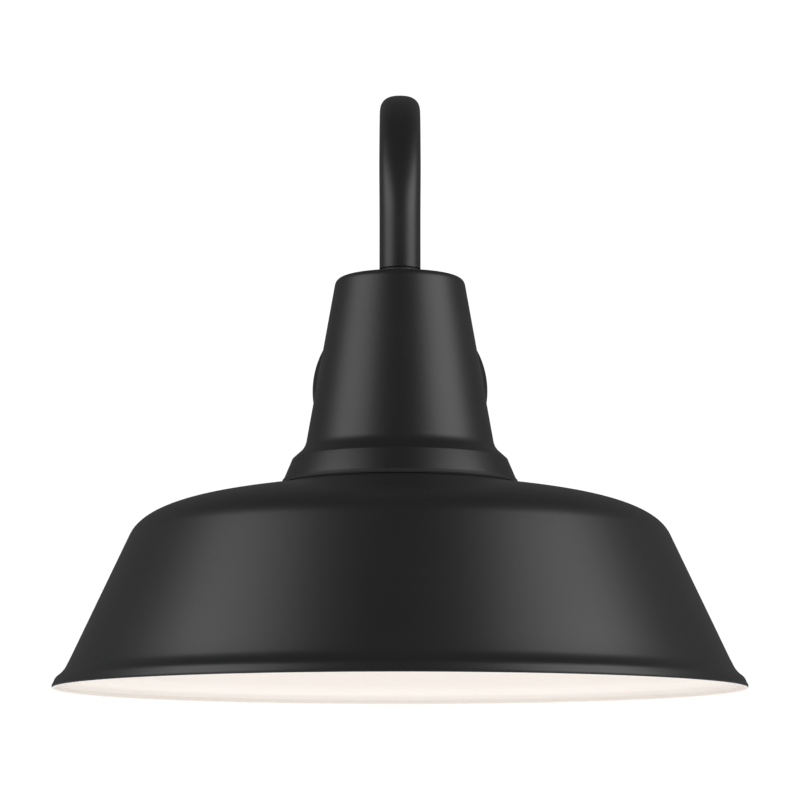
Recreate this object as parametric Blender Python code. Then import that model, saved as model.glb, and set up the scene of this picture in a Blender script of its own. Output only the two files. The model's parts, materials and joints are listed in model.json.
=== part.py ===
"""Gooseneck barn wall lantern: one object for each separate piece, in metres, +Z up.

The origin is the centre of the canopy's back, on the wall plane Y = 0.  The lamp reaches out
along -Y, and its shade hangs mouth down about a vertical axis ARM_REACH in front of the wall.
"""

import math

import bmesh
import bpy
from mathutils import Vector

# ---- driving dimensions (metres and degrees) ------------------------------------------------
GAP = 0.0003                 # between pieces that touch

SHADE_RADIUS = 0.2035        # outside of the rim, a 16 inch shade
SHADE_HEIGHT = 0.1210        # rim to the flat seat under the neck
SHADE_WALL = 0.0012
CROWN_SLOPE = 19.5           # fall of the crown beside the neck
CROWN_REACH = 0.0194         # curve handle along the crown
SHOULDER_REACH = 0.0267      # curve handle along the cone
CONE_FALL = 0.0311           # seat down to the top of the cone
CONE_ANGLE = 24.9            # cone's slope from the vertical
RIM_FLARE = 0.0105           # rim's outside beyond the end of the cone
RIM_HEIGHT = 0.0174          # height of the flared rim
RIM_STEP = 0.0060            # height of the rim's upright outer band
RIM_EDGE = 0.0018            # thickness of the rim's folded edge

NECK_HEIGHT = 0.1222         # flange underside to the flat top
NECK_TOP_RADIUS = 0.0382     # cone radius at the flat top, before its corner is rounded
NECK_CORNER = 0.0050
NECK_FILLET = 0.0116         # between the neck's side and the flange's bevel
NECK_WALL = 0.0026
NECK_TOP_THICKNESS = 0.0030
FLANGE_RADIUS = 0.0694
FLANGE_HEIGHT = 0.0133       # up to the corner where its bevel starts
FLANGE_TAPER = 0.0056        # corner inside the flange's foot
FLANGE_BEVEL = 0.0076        # width of the bevel above the corner
FLANGE_BEVEL_RISE = 0.0068   # and its height
FLANGE_CORNER = 0.0012
FLANGE_BEARING = 0.0194      # width of the flange's flat foot
FLANGE_FLOOR = 0.0080        # thickness of the flange's inner ring
SHADE_GASKET = 0.0012        # thickness
GASKET_INSET = 0.0015        # its edge inside the flange's

ARM_REACH = 0.3300           # wall to the shade's axis
ARM_RISE = 0.1423            # canopy centre to the crown of the gooseneck's centre line
ARM_RADIUS = 0.0123
ARM_WALL = 0.0015
ARCH_RADIUS = 0.0850
ARM_LEVEL = 0.0250           # level length past the canopy's collar
ARM_STRAIGHT = 0.0893        # straight length between the two bends
SEAL_HEIGHT = 0.0052         # ring between the neck and the arm
ARM_DROP = 0.0279            # straight length from the arch down to the neck's seal

BUSH_WALL = 0.0022
BUSH_LENGTH = 0.0120
NIPPLE_WALL = 0.0018
NIPPLE_GRIP = 0.0120         # length inside the arm
NIPPLE_SPARE = 0.0020        # thread past the nut
NUT_WALL = 0.0040            # nipple's thread out to the nut's flats
NUT_HEIGHT = 0.0045
WASHER_WIDTH = 0.0060
WASHER_HEIGHT = 0.0012

CANOPY_RADIUS = 0.0607
CANOPY_DEPTH = 0.0240
CANOPY_SHOULDER = 0.0110
CANOPY_WALL = 0.0012
COLLAR_LIP = 0.0017          # collar's waist beyond the arm
COLLAR_FOOT = 0.0045         # collar's foot beyond its waist
COLLAR_HEIGHT = 0.0090
COLLAR_EDGE = 0.0006
GASKET_WIDTH = 0.0095
GASKET_HEIGHT = 0.0020
STRAP_CLEARANCE = 0.0022     # between the strap's ends and the wall gasket
STRAP_WIDTH = 0.0220
STRAP_THICKNESS = 0.0016
STRAP_HOLE_MARGIN = 0.0010   # strap beside its centre hole, each side
STRAP_SLOT_LENGTH = 0.0110
STRAP_SLOT_RADIUS = 0.0023
STRAP_SLOT_MARGIN = 0.0075   # slot's outer end to the stud's axis
STUD_MARGIN = 0.00455        # stud's axis to the strap's end
STUD_RADIUS = 0.0020
CAP_NUT_FLATS = 0.0080
CAP_NUT_HEIGHT = 0.0050
CAP_NUT_DOME = 0.0038
GROUND_SCREW_X = -0.0165
GROUND_SCREW_Z = 0.0055

BRACKET_MARGIN = 0.0017      # strip beside the nipple's hole, each side
BRACKET_SHEET = 0.0016
LEG_CLEARANCE = 0.0031       # between a leg and the nut's corners
BRACKET_DROP = 0.0560        # top plate to the feet
BRACKET_FOOT = 0.0115        # length of each foot
HOLDER_WALL = 0.0015         # at the mouth
HOLDER_FLARE = 0.0032        # widening of the bore at its mouth
HOLDER_MOUTH = 0.0055        # height of the widening
HOLDER_HEIGHT = 0.0480
HOLDER_EDGE = 0.0008
HOLDER_FLANGE_MARGIN = 0.0042   # beyond the socket screws
HOLDER_FLANGE_HEIGHT = 0.0060
HOLDER_NUT_CLEARANCE = 0.0010   # between the porcelain and the small nuts
HOLDER_ROOF = 0.0130         # porcelain above the bore
SHELL_CLEARANCE = 0.0004     # between the screw shell and the bulb's cap
SHELL_WALL = 0.0005
SHELL_LENGTH = 0.0250
CONTACT_RADIUS = 0.0036
CONTACT_ROOM = 0.0024        # hole in the shell's roof beyond the contact
TERMINAL_REACH = 0.0100      # terminal screws from the shade's axis

BULB_CAP_RADIUS = 0.0131
BULB_CAP_LENGTH = 0.0200
BULB_RADIUS = 0.0300
BULB_LENGTH = 0.1080         # contact to the end of the globe
BULB_GLASS = 0.0007
BULB_TIP_HEIGHT = 0.0065     # contact button and insulator above the cap
BULB_CAP_WALL = 0.0005
BULB_CAP_SHOULDER = 0.0022
BULB_TIP_HOLE = 0.0062
BUTTON_RADIUS = 0.0032
BUTTON_HEIGHT = 0.0020
GLASS_GRIP = 0.0060          # length of the glass inside the cap
STEM_RADIUS = 0.0028
COIL_RADIUS = 0.0090
COIL_WIRE = 0.0006

SCREW_RADIUS = 0.0020
SCREW_HEAD_RADIUS = 0.0040
SCREW_HEAD_HEIGHT = 0.0024
SMALL_NUT_FLATS = 0.0066
SMALL_NUT_HEIGHT = 0.0025
SMALL_SCREW_SPARE = 0.0020   # thread past the small nut
TERMINAL_BITE = 0.0040       # terminal screws into the porcelain
SHADE_SCREW_COUNT = 3
SHADE_SCREW_BITE = 0.0050    # into the neck flange
CLAMP_RING_HEIGHT = 0.0015
CLAMP_RING_EDGE = 0.0080     # ring beyond the screw circle, each way

LEAD_RADIUS = 0.0011
LEAD_CLEARANCE = 0.0013      # between a lead and the nipples' bore
GROUND_LEAD_DROP = 0.0160    # ground lead's end below the neck's nipple
CONTACT_THICKNESS = 0.0016
RIVET_RADIUS = 0.0016
CONNECTOR_RADIUS = 0.0052
CONNECTOR_TIP_RADIUS = 0.0036
CONNECTOR_LENGTH = 0.0190
CONNECTOR_START = 0.0215     # from the canopy's axis
CONNECTOR_SOCKET = 0.0060    # depth of its mouth
CONNECTOR_CLEARANCE = 0.0015    # between the connectors and the strap
LEAD_LIFT = 0.0006           # leads' elbow away from the connectors' plane
NIPPLE_CLEARANCE = 0.0040    # between that elbow and the canopy's nipple

LARGE_STEPS = 40             # sides of the shade, neck and canopy
MEDIUM_STEPS = 20
SMALL_STEPS = 12
HEX_STEPS = 12               # sides of a nut's round bore, a multiple of six
CROWN_STEPS = 9
ARC_STEPS = 4
GLOBE_STEPS = 10
ARM_SIDES = 16
BEND_STEP = 11.0             # degrees between rings of the arm
LEAD_STEP = 0.012            # between the points of a lead

# ---- places worked out from the driving dimensions ------------------------------------------
NECK_TOP = ARM_RISE - ARCH_RADIUS - ARM_DROP - SEAL_HEIGHT - 2 * GAP
NECK_BASE = NECK_TOP - NECK_HEIGHT
SHADE_SEAT = NECK_BASE - SHADE_GASKET - 2 * GAP
RIM = SHADE_SEAT - SHADE_HEIGHT
SHADE_SEAT_RADIUS = FLANGE_RADIUS
SHADE_HOLE_RADIUS = FLANGE_RADIUS - FLANGE_BEARING
SHADE_SCREW_CIRCLE = SHADE_HOLE_RADIUS + CLAMP_RING_EDGE
CONE_END = SHADE_RADIUS - RIM_FLARE
CONE_RUN = (SHADE_HEIGHT - CONE_FALL - RIM_HEIGHT) * math.tan(math.radians(CONE_ANGLE))
SHOULDER_RADIUS = CONE_END - CONE_RUN
FLANGE_TOP_RADIUS = FLANGE_RADIUS - FLANGE_TAPER
NECK_FOOT_RADIUS = FLANGE_TOP_RADIUS - FLANGE_BEVEL
NECK_FOOT_HEIGHT = FLANGE_HEIGHT + FLANGE_BEVEL_RISE
SEAL_BASE = NECK_TOP + GAP
ARM_END = SEAL_BASE + SEAL_HEIGHT + GAP
ARM_BORE = ARM_RADIUS - ARM_WALL
COLLAR_BASE = CANOPY_DEPTH + GAP
ARM_START = COLLAR_BASE + COLLAR_HEIGHT + GAP
SWEEP_START = ARM_START + ARM_LEVEL
SWEEP_RUN = ARM_REACH - ARCH_RADIUS - SWEEP_START
BEND_RADII = (SWEEP_RUN ** 2 + ARM_RISE ** 2 - ARM_STRAIGHT ** 2) / (2 * ARM_RISE)   # of both
SWEEP_RADIUS = BEND_RADII - ARCH_RADIUS
SWEEP_ANGLE = math.atan2(ARM_RISE - BEND_RADII, SWEEP_RUN) + math.atan2(BEND_RADII, ARM_STRAIGHT)
CANOPY_BACK = GASKET_HEIGHT + GAP
NIPPLE_RADIUS = ARM_BORE - BUSH_WALL - 2 * GAP
NIPPLE_BORE = NIPPLE_RADIUS - NIPPLE_WALL
NIPPLE_HOLE = NIPPLE_RADIUS + GAP
LEAD_OFFSET = NIPPLE_BORE - LEAD_RADIUS - LEAD_CLEARANCE   # from the arm's centre line
NUT_FLATS = 2 * (NIPPLE_RADIUS + NUT_WALL)
WASHER_RADIUS = NIPPLE_RADIUS + WASHER_WIDTH
COLLAR_WAIST = ARM_RADIUS + COLLAR_LIP
COLLAR_RADIUS = COLLAR_WAIST + COLLAR_FOOT
STRAP_HOLE_RADIUS = STRAP_WIDTH / 2 - STRAP_HOLE_MARGIN
STRAP_END = CANOPY_RADIUS - GASKET_WIDTH - STRAP_CLEARANCE
STUD_X = STRAP_END - STUD_MARGIN
STRAP_SLOT_OUTER = STUD_X - STRAP_SLOT_MARGIN
STUD_HOLE = STUD_RADIUS + GAP
SCREW_HOLE = SCREW_RADIUS + GAP
NECK_INNER_TOP = NECK_TOP - NECK_TOP_THICKNESS
BRACKET_WIDTH = 2 * (NIPPLE_HOLE + BRACKET_MARGIN)
BRACKET_TOP = NECK_INNER_TOP - GAP
NECK_WASHER_TOP = BRACKET_TOP - BRACKET_SHEET - GAP
NECK_NUT_TOP = NECK_WASHER_TOP - WASHER_HEIGHT - GAP
NECK_NIPPLE_BASE = NECK_NUT_TOP - NUT_HEIGHT - NIPPLE_SPARE
GROUND_LEAD_END = NECK_NIPPLE_BASE - GROUND_LEAD_DROP
BRACKET_BASE = BRACKET_TOP - BRACKET_DROP
SHELL_BORE = BULB_CAP_RADIUS + SHELL_CLEARANCE
SHELL_RADIUS = SHELL_BORE + SHELL_WALL
HOLDER_BORE = SHELL_RADIUS + GAP
HOLDER_RADIUS = HOLDER_BORE + HOLDER_FLARE + HOLDER_WALL
NUT_CORNER = NUT_FLATS / 2 / math.cos(math.radians(30))
SMALL_NUT_CORNER = SMALL_NUT_FLATS / 2 / math.cos(math.radians(30))
SOCKET_SCREW_X = max(
    NUT_CORNER + LEG_CLEARANCE + BRACKET_SHEET + BRACKET_FOOT / 2,
    HOLDER_RADIUS + HOLDER_NUT_CLEARANCE + SMALL_NUT_CORNER,
)
LEG_OUTSIDE = SOCKET_SCREW_X - BRACKET_FOOT / 2
LEG_INSIDE = LEG_OUTSIDE - BRACKET_SHEET
HOLDER_FLANGE_RADIUS = SOCKET_SCREW_X + HOLDER_FLANGE_MARGIN
HOLDER_TOP = BRACKET_BASE - GAP
HOLDER_BASE = HOLDER_TOP - HOLDER_HEIGHT
HOLDER_CEILING = HOLDER_TOP - HOLDER_ROOF
CANOPY_NUT_FRONT = CANOPY_DEPTH - CANOPY_WALL - WASHER_HEIGHT - 2 * GAP
CANOPY_NIPPLE_BACK = CANOPY_NUT_FRONT - NUT_HEIGHT - NIPPLE_SPARE
BULB_TIP = HOLDER_CEILING - CONTACT_THICKNESS - 2 * GAP
BULB_CAP_TOP = BULB_TIP - BULB_TIP_HEIGHT
BULB_CAP_BASE = BULB_CAP_TOP - BULB_CAP_LENGTH
BULB_CENTRE = BULB_TIP - BULB_LENGTH + BULB_RADIUS
SHADE_UNDERSIDE = SHADE_SEAT - SHADE_WALL
CLAMP_RING_TOP = SHADE_UNDERSIDE - GAP
CONNECTOR_PLANE = STRAP_THICKNESS + 2 * GAP + CONNECTOR_RADIUS + CONNECTOR_CLEARANCE
LEAD_ELBOW = min(CONNECTOR_PLANE + LEAD_LIFT, CANOPY_NIPPLE_BACK - NIPPLE_CLEARANCE)
LEAD_ANGLES = {"line": 90.0, "neutral": 210.0, "ground": 330.0}
LEAD_COLOURS = {"line": "black", "neutral": "white", "ground": "green"}

FACE_OUT = (math.pi / 2, 0.0, 0.0)   # turns a piece's own +Z to point away from the wall


# ---- finishes -------------------------------------------------------------------------------
def finish(name, colour, roughness, metallic):
    """A Principled material."""
    material = bpy.data.materials.new(name)
    material.use_nodes = True
    shader = material.node_tree.nodes["Principled BSDF"]
    shader.inputs["Base Color"].default_value = (*colour, 1.0)
    shader.inputs["Roughness"].default_value = roughness
    shader.inputs["Metallic"].default_value = metallic
    material.diffuse_color = (*colour, 1.0)
    return material


def make_finishes():
    """Every finish of the lantern by name."""
    table = {
        "black_paint": ((0.012, 0.012, 0.013), 0.42, 0.0),
        "shade_enamel": ((0.014, 0.014, 0.015), 0.40, 0.0),
        "zinc_steel": ((0.55, 0.54, 0.50), 0.38, 1.0),
        "brass": ((0.62, 0.45, 0.18), 0.30, 1.0),
        "nickel": ((0.66, 0.65, 0.62), 0.25, 1.0),
        "green_screw": ((0.03, 0.25, 0.07), 0.45, 0.3),
        "porcelain": ((0.83, 0.82, 0.78), 0.22, 0.0),
        "black_rubber": ((0.02, 0.02, 0.02), 0.75, 0.0),
        "foam": ((0.05, 0.05, 0.05), 0.90, 0.0),
        "frosted_glass": ((0.88, 0.87, 0.84), 0.35, 0.0),
        "clear_glass": ((0.80, 0.84, 0.82), 0.10, 0.0),
        "black_glass": ((0.02, 0.02, 0.02), 0.20, 0.0),
        "lead_black": ((0.02, 0.02, 0.02), 0.55, 0.0),
        "lead_white": ((0.75, 0.74, 0.70), 0.55, 0.0),
        "lead_green": ((0.03, 0.24, 0.06), 0.55, 0.0),
        "connector": ((0.60, 0.20, 0.03), 0.50, 0.0),
        "tungsten": ((0.25, 0.24, 0.23), 0.50, 1.0),
    }
    return {name: finish(name, *values) for name, values in table.items()}


# ---- making solids --------------------------------------------------------------------------
def add_object(name, data, material, location, rotation):
    """Link a mesh or curve into the scene under its sub-part's name."""
    piece = bpy.data.objects.new(name, data)
    piece.location = location
    piece.rotation_euler = rotation
    data.materials.append(material)
    bpy.context.scene.collection.objects.link(piece)
    return piece


def close_mesh(name, mesh_builder, smooth):
    """Turn a finished bmesh into a mesh with its faces out."""
    bmesh.ops.remove_doubles(mesh_builder, verts=mesh_builder.verts, dist=1e-6)
    bmesh.ops.recalc_face_normals(mesh_builder, faces=mesh_builder.faces)
    mesh = bpy.data.meshes.new(name)
    mesh_builder.to_mesh(mesh)
    mesh_builder.free()
    if smooth:
        mesh.shade_smooth()
        mesh.set_sharp_from_angle(angle=math.radians(35))
    return mesh


def turned(name, outline, material, steps, location=(0, 0, 0), rotation=(0, 0, 0)):
    """Spin an outline of (radius, height) points about the piece's own Z axis.

    An outline that starts and ends on the axis makes a solid; any other is closed to a ring.
    """
    builder = bmesh.new()
    points = [builder.verts.new((radius, 0.0, height)) for radius, height in outline]
    edges = [builder.edges.new(pair) for pair in zip(points, points[1:])]
    solid = outline[0][0] == 0.0 and outline[-1][0] == 0.0
    if not solid:
        edges.append(builder.edges.new((points[-1], points[0])))
    bmesh.ops.spin(
        builder, geom=points + edges, cent=(0, 0, 0), axis=(0, 0, 1),
        angle=2 * math.pi, steps=steps,
    )
    mesh = close_mesh(name, builder, True)
    return add_object(name, mesh, material, location, rotation)


def lathe_ring(inner, outer, low, high):
    """Outline of a plain ring."""
    return [(inner, low), (outer, low), (outer, high), (inner, high)]


def extruded(name, outline, depth, material, location=(0, 0, 0), rotation=(0, 0, 0)):
    """Extrude a flat outline of (x, y) points along the piece's own Z, centred on it."""
    builder = bmesh.new()
    points = [builder.verts.new((x, y, -depth / 2)) for x, y in outline]
    face = builder.faces.new(points)
    raised = bmesh.ops.extrude_face_region(builder, geom=[face])["geom"]
    moved = [item for item in raised if isinstance(item, bmesh.types.BMVert)]
    bmesh.ops.translate(builder, verts=moved, vec=(0, 0, depth))
    mesh = close_mesh(name, builder, False)
    return add_object(name, mesh, material, location, rotation)


def hexagon_radius(flats, angle):
    """Distance from a hexagon's centre to its side in one direction."""
    side = math.radians(60)
    return flats / 2 / math.cos((angle + side / 2) % side - side / 2)


def join_rings(builder, first, second):
    """Faces between two rings that have the same number of points."""
    count = len(first)
    for step in range(count):
        after = (step + 1) % count
        builder.faces.new((first[step], first[after], second[after], second[step]))


def hex_ring(name, flats, bore, height, material, location, rotation=(0, 0, 0)):
    """A hexagon nut with a round bore, standing on the piece's own Z = 0."""
    builder = bmesh.new()
    bore = round_hole(bore, HEX_STEPS)
    rings = []
    for level in (0.0, height):
        for radius_at in (lambda a: bore, lambda a: hexagon_radius(flats, a)):
            ring = []
            for step in range(HEX_STEPS):
                angle = 2 * math.pi * step / HEX_STEPS
                radius = radius_at(angle)
                ring.append(
                    builder.verts.new((radius * math.cos(angle), radius * math.sin(angle), level))
                )
            rings.append(ring)
    inner_low, outer_low, inner_high, outer_high = rings
    for first, second in (
        (inner_low, outer_low), (outer_low, outer_high), (outer_high, inner_high),
        (inner_high, inner_low),
    ):
        join_rings(builder, first, second)
    mesh = close_mesh(name, builder, True)
    return add_object(name, mesh, material, location, rotation)


def round_hole(radius, sides):
    """Corner distance of a many-sided hole whose flat sides stand at a radius."""
    return radius / math.cos(math.pi / sides)


def drill(piece, name, radius, length, location, rotation=(0, 0, 0)):
    """Cut a round hole, centred on a place, through a piece."""
    corner = round_hole(radius, SMALL_STEPS)
    builder = bmesh.new()
    bmesh.ops.create_cone(
        builder, cap_ends=True, segments=SMALL_STEPS, radius1=corner, radius2=corner,
        depth=length,
    )
    mesh = bpy.data.meshes.new(name)
    builder.to_mesh(mesh)
    builder.free()
    cut_with(piece, name, mesh, location, rotation)


def cut_with(piece, name, mesh, location, rotation=(0, 0, 0)):
    """Subtract a hidden cutter from a piece."""
    cutter = bpy.data.objects.new(name, mesh)
    cutter.location = location
    cutter.rotation_euler = rotation
    cutter.hide_render = True
    cutter.display_type = "WIRE"
    bpy.context.scene.collection.objects.link(cutter)
    modifier = piece.modifiers.new(name, "BOOLEAN")
    modifier.operation = "DIFFERENCE"
    modifier.solver = "EXACT"
    modifier.object = cutter


def arc(centre, radius, start, end, steps):
    """Points (x, y) of an arc, angles in degrees from +X, both ends included."""
    points = []
    for step in range(steps + 1):
        angle = math.radians(start + (end - start) * step / steps)
        points.append((centre[0] + radius * math.cos(angle), centre[1] + radius * math.sin(angle)))
    return points


def axis_at(height):
    """A place on the shade's vertical axis."""
    return (0.0, -ARM_REACH, height)


# ---- the gooseneck's centre line ------------------------------------------------------------
def arm_stations(start, end):
    """Centres and directions along the arm, from the canopy to the neck.

    It leaves the wall level, sweeps up by SWEEP_ANGLE, runs straight, and then arches over
    until it points straight down.  The sweep's radius and angle are what reach and rise leave.
    """
    path = [(start, 0.0, 0.0)]
    count = math.ceil(math.degrees(SWEEP_ANGLE) / BEND_STEP)
    for step in range(count + 1):
        angle = SWEEP_ANGLE * step / count
        out = SWEEP_START + SWEEP_RADIUS * math.sin(angle)
        path.append((out, SWEEP_RADIUS * (1 - math.cos(angle)), angle))
    crown_out = ARM_REACH - ARCH_RADIUS
    crown_centre = ARM_RISE - ARCH_RADIUS
    count = math.ceil((math.degrees(SWEEP_ANGLE) + 90) / BEND_STEP)
    for step in range(count + 1):
        angle = SWEEP_ANGLE - (SWEEP_ANGLE + math.pi / 2) * step / count
        path.append(
            (
                crown_out - ARCH_RADIUS * math.sin(angle),
                crown_centre + ARCH_RADIUS * math.cos(angle),
                angle,
            )
        )
    path.append((ARM_REACH, end, -math.pi / 2))
    return [
        (Vector((0, -out, up)), Vector((0, -math.cos(angle), math.sin(angle))))
        for out, up, angle in path
    ]


def side_of(direction):
    """The across direction, in the arm's plane, that points up at the wall end."""
    return Vector((0, direction.z, -direction.y))


def swept_tube(name, stations, outer, inner, material, steps):
    """A round tube carried along the stations, open at both ends."""
    builder = bmesh.new()
    skins = []
    for radius in (outer, inner):
        rings = []
        for centre, direction in stations:
            across = side_of(direction)
            ring = []
            for step in range(steps):
                angle = 2 * math.pi * step / steps
                point = centre + Vector((math.cos(angle) * radius, 0, 0))
                point += across * math.sin(angle) * radius
                ring.append(builder.verts.new(point))
            rings.append(ring)
        skins.append(rings)
    pairs = [pair for rings in skins for pair in zip(rings, rings[1:])]
    pairs.append((skins[0][0], skins[1][0]))
    pairs.append((skins[0][-1], skins[1][-1]))
    for first, second in pairs:
        join_rings(builder, first, second)
    mesh = close_mesh(name, builder, True)
    return add_object(name, mesh, material, (0, 0, 0), (0, 0, 0))


# ---- shade ----------------------------------------------------------------------------------
def crown_curve(steps):
    """Outside of the crown and shoulder: a cubic curve from the seat to the top of the cone."""
    slope = math.radians(CROWN_SLOPE)
    cone = math.radians(CONE_ANGLE)
    first = Vector((SHADE_SEAT_RADIUS, 0.0))
    last = Vector((SHOULDER_RADIUS, -CONE_FALL))
    second = first + Vector((math.cos(slope), -math.sin(slope))) * CROWN_REACH
    third = last + Vector((-math.sin(cone), math.cos(cone))) * SHOULDER_REACH
    points = []
    for step in range(steps + 1):
        t = step / steps
        point = first * (1 - t) ** 3 + second * 3 * t * (1 - t) ** 2
        point += third * 3 * t * t * (1 - t) + last * t ** 3
        points.append((point.x, SHADE_HEIGHT + point.y))
    return points


def shade_outside():
    """Outer skin from the hole's edge to the rim, heights above the rim."""
    points = [(SHADE_HOLE_RADIUS, SHADE_HEIGHT)]
    points += crown_curve(CROWN_STEPS)
    points.append((CONE_END, RIM_HEIGHT))
    points.append((CONE_END + RIM_FLARE * 0.24, RIM_HEIGHT * 0.69))
    points.append((CONE_END + RIM_FLARE * 0.52, RIM_HEIGHT * 0.48))
    points.append((SHADE_RADIUS - RIM_FLARE * 0.20, RIM_STEP))
    points.append((SHADE_RADIUS, 0.0))
    return points


def inward(points, thickness):
    """The same outline moved to its inner side by a wall thickness."""
    moved = []
    for index, (x, y) in enumerate(points):
        before = Vector(points[max(index - 1, 0)])
        after = Vector(points[min(index + 1, len(points) - 1)])
        along = (after - before).normalized()
        here = Vector((x, y)) + Vector((along.y, -along.x)) * thickness
        moved.append((here.x, here.y))
    return moved


def make_shade(finishes):
    """Spun steel shade with a flared rim, and a seat and three screw holes at its top."""
    outside = shade_outside()
    skin = inward(outside[1:-2], SHADE_WALL)
    inside = [(SHADE_HOLE_RADIUS, SHADE_HEIGHT - SHADE_WALL)]
    inside.append((SHADE_SEAT_RADIUS - SHADE_WALL, SHADE_HEIGHT - SHADE_WALL))
    inside += skin[1:]
    inside.append((SHADE_RADIUS - RIM_EDGE, 0.0))
    shade = turned(
        "shade", outside + inside[::-1], finishes["shade_enamel"], LARGE_STEPS, axis_at(RIM)
    )
    for index, (x, y) in enumerate(shade_screw_places()):
        drill(shade, f"shade_hole_{index + 1}", SCREW_HOLE, 0.01, (x, y, SHADE_SEAT))


def shade_screw_places():
    """Where the shade's screws stand, equally spaced about the shade's axis."""
    places = []
    for index in range(SHADE_SCREW_COUNT):
        angle = 2 * math.pi * (index + 0.25) / SHADE_SCREW_COUNT
        places.append(
            (
                SHADE_SCREW_CIRCLE * math.cos(angle),
                -ARM_REACH + SHADE_SCREW_CIRCLE * math.sin(angle),
            )
        )
    return places


def make_shade_fixings(finishes):
    """Gasket over the shade's seat, the clamp ring under it and the screws through them."""
    gasket = turned(
        "shade_gasket",
        lathe_ring(SHADE_HOLE_RADIUS, FLANGE_RADIUS - GASKET_INSET, 0.0, SHADE_GASKET),
        finishes["black_rubber"], LARGE_STEPS, axis_at(SHADE_SEAT + GAP),
    )
    ring = turned(
        "shade_clamp_ring",
        lathe_ring(
            SHADE_SCREW_CIRCLE - CLAMP_RING_EDGE, SHADE_SCREW_CIRCLE + CLAMP_RING_EDGE,
            -CLAMP_RING_HEIGHT, 0.0,
        ),
        finishes["zinc_steel"], MEDIUM_STEPS, axis_at(CLAMP_RING_TOP),
    )
    head_top = CLAMP_RING_TOP - CLAMP_RING_HEIGHT - GAP
    for index, (x, y) in enumerate(shade_screw_places()):
        number = index + 1
        drill(gasket, f"gasket_hole_{number}", SCREW_HOLE, 0.01, (x, y, SHADE_SEAT))
        drill(ring, f"ring_hole_{number}", SCREW_HOLE, 0.01, (x, y, CLAMP_RING_TOP))
        screw(
            f"shade_screw_{number}", finishes["zinc_steel"],
            NECK_BASE + SHADE_SCREW_BITE - head_top, (x, y, head_top), (math.pi, 0, 0),
        )


def screw(name, material, length, location, rotation=(0, 0, 0)):
    """A pan-head screw: head on the piece's own Z = 0 side up, shank down by its length."""
    crown = SCREW_HEAD_RADIUS * 0.55
    outline = [
        (0.0, -length),
        (SCREW_RADIUS, -length),
        (SCREW_RADIUS, 0.0),
        (SCREW_HEAD_RADIUS, 0.0),
        (SCREW_HEAD_RADIUS, SCREW_HEAD_HEIGHT * 0.55),
        (crown, SCREW_HEAD_HEIGHT),
        (0.0, SCREW_HEAD_HEIGHT),
    ]
    return turned(name, outline, material, SMALL_STEPS, location, rotation)


# ---- neck -----------------------------------------------------------------------------------
def neck_outside():
    """Outside of the neck from the flange's foot to the flat top, heights above its base."""
    foot = (FLANGE_RADIUS, 0.0)
    corner = (FLANGE_TOP_RADIUS, FLANGE_HEIGHT)
    waist = (NECK_FOOT_RADIUS, NECK_FOOT_HEIGHT)
    top = (NECK_TOP_RADIUS, NECK_HEIGHT)
    points = [foot]
    points += rounded(foot, corner, waist, FLANGE_CORNER, 1)
    points += rounded(corner, waist, top, NECK_FILLET, ARC_STEPS)
    points += rounded(waist, top, (NIPPLE_HOLE, NECK_HEIGHT), NECK_CORNER, ARC_STEPS)
    return points


def rounded(before, corner, after, radius, steps):
    """Points of the arc that rounds a corner of an outline, from one side to the other."""
    corner = Vector(corner)
    back = (Vector(before) - corner).normalized()
    ahead = (Vector(after) - corner).normalized()
    half = back.angle(ahead) / 2
    centre = corner + (back + ahead).normalized() * radius / math.sin(half)
    first = corner + back * radius / math.tan(half) - centre
    last = corner + ahead * radius / math.tan(half) - centre
    turn = math.degrees(first.angle_signed(last))
    start = math.degrees(math.atan2(first.y, first.x))
    return arc(centre, radius, start, start - turn, steps)


def make_neck(finishes):
    """Cast neck: a hollow cone with a stepped flange at its foot and a hole in its flat top."""
    outside = neck_outside()
    inner_top = NECK_HEIGHT - NECK_TOP_THICKNESS
    outline = [(SHADE_HOLE_RADIUS, 0.0)]
    outline += outside
    outline.append((NIPPLE_HOLE, NECK_HEIGHT))
    outline.append((NIPPLE_HOLE, inner_top))
    outline.append((NECK_TOP_RADIUS - NECK_WALL - NECK_CORNER * 0.6, inner_top))
    outline.append((NECK_TOP_RADIUS - NECK_WALL, inner_top - NECK_CORNER * 0.6))
    outline.append((NECK_FOOT_RADIUS - NECK_WALL, NECK_FOOT_HEIGHT))
    outline.append((NECK_FOOT_RADIUS - NECK_WALL, FLANGE_FLOOR))
    outline.append((SHADE_HOLE_RADIUS, FLANGE_FLOOR))
    neck = turned("neck", outline, finishes["black_paint"], LARGE_STEPS, axis_at(NECK_BASE))
    depth = 2 * (SHADE_SCREW_BITE + GAP)
    for index, (x, y) in enumerate(shade_screw_places()):
        drill(neck, f"neck_hole_{index + 1}", SCREW_HOLE, depth, (x, y, NECK_BASE))


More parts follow.
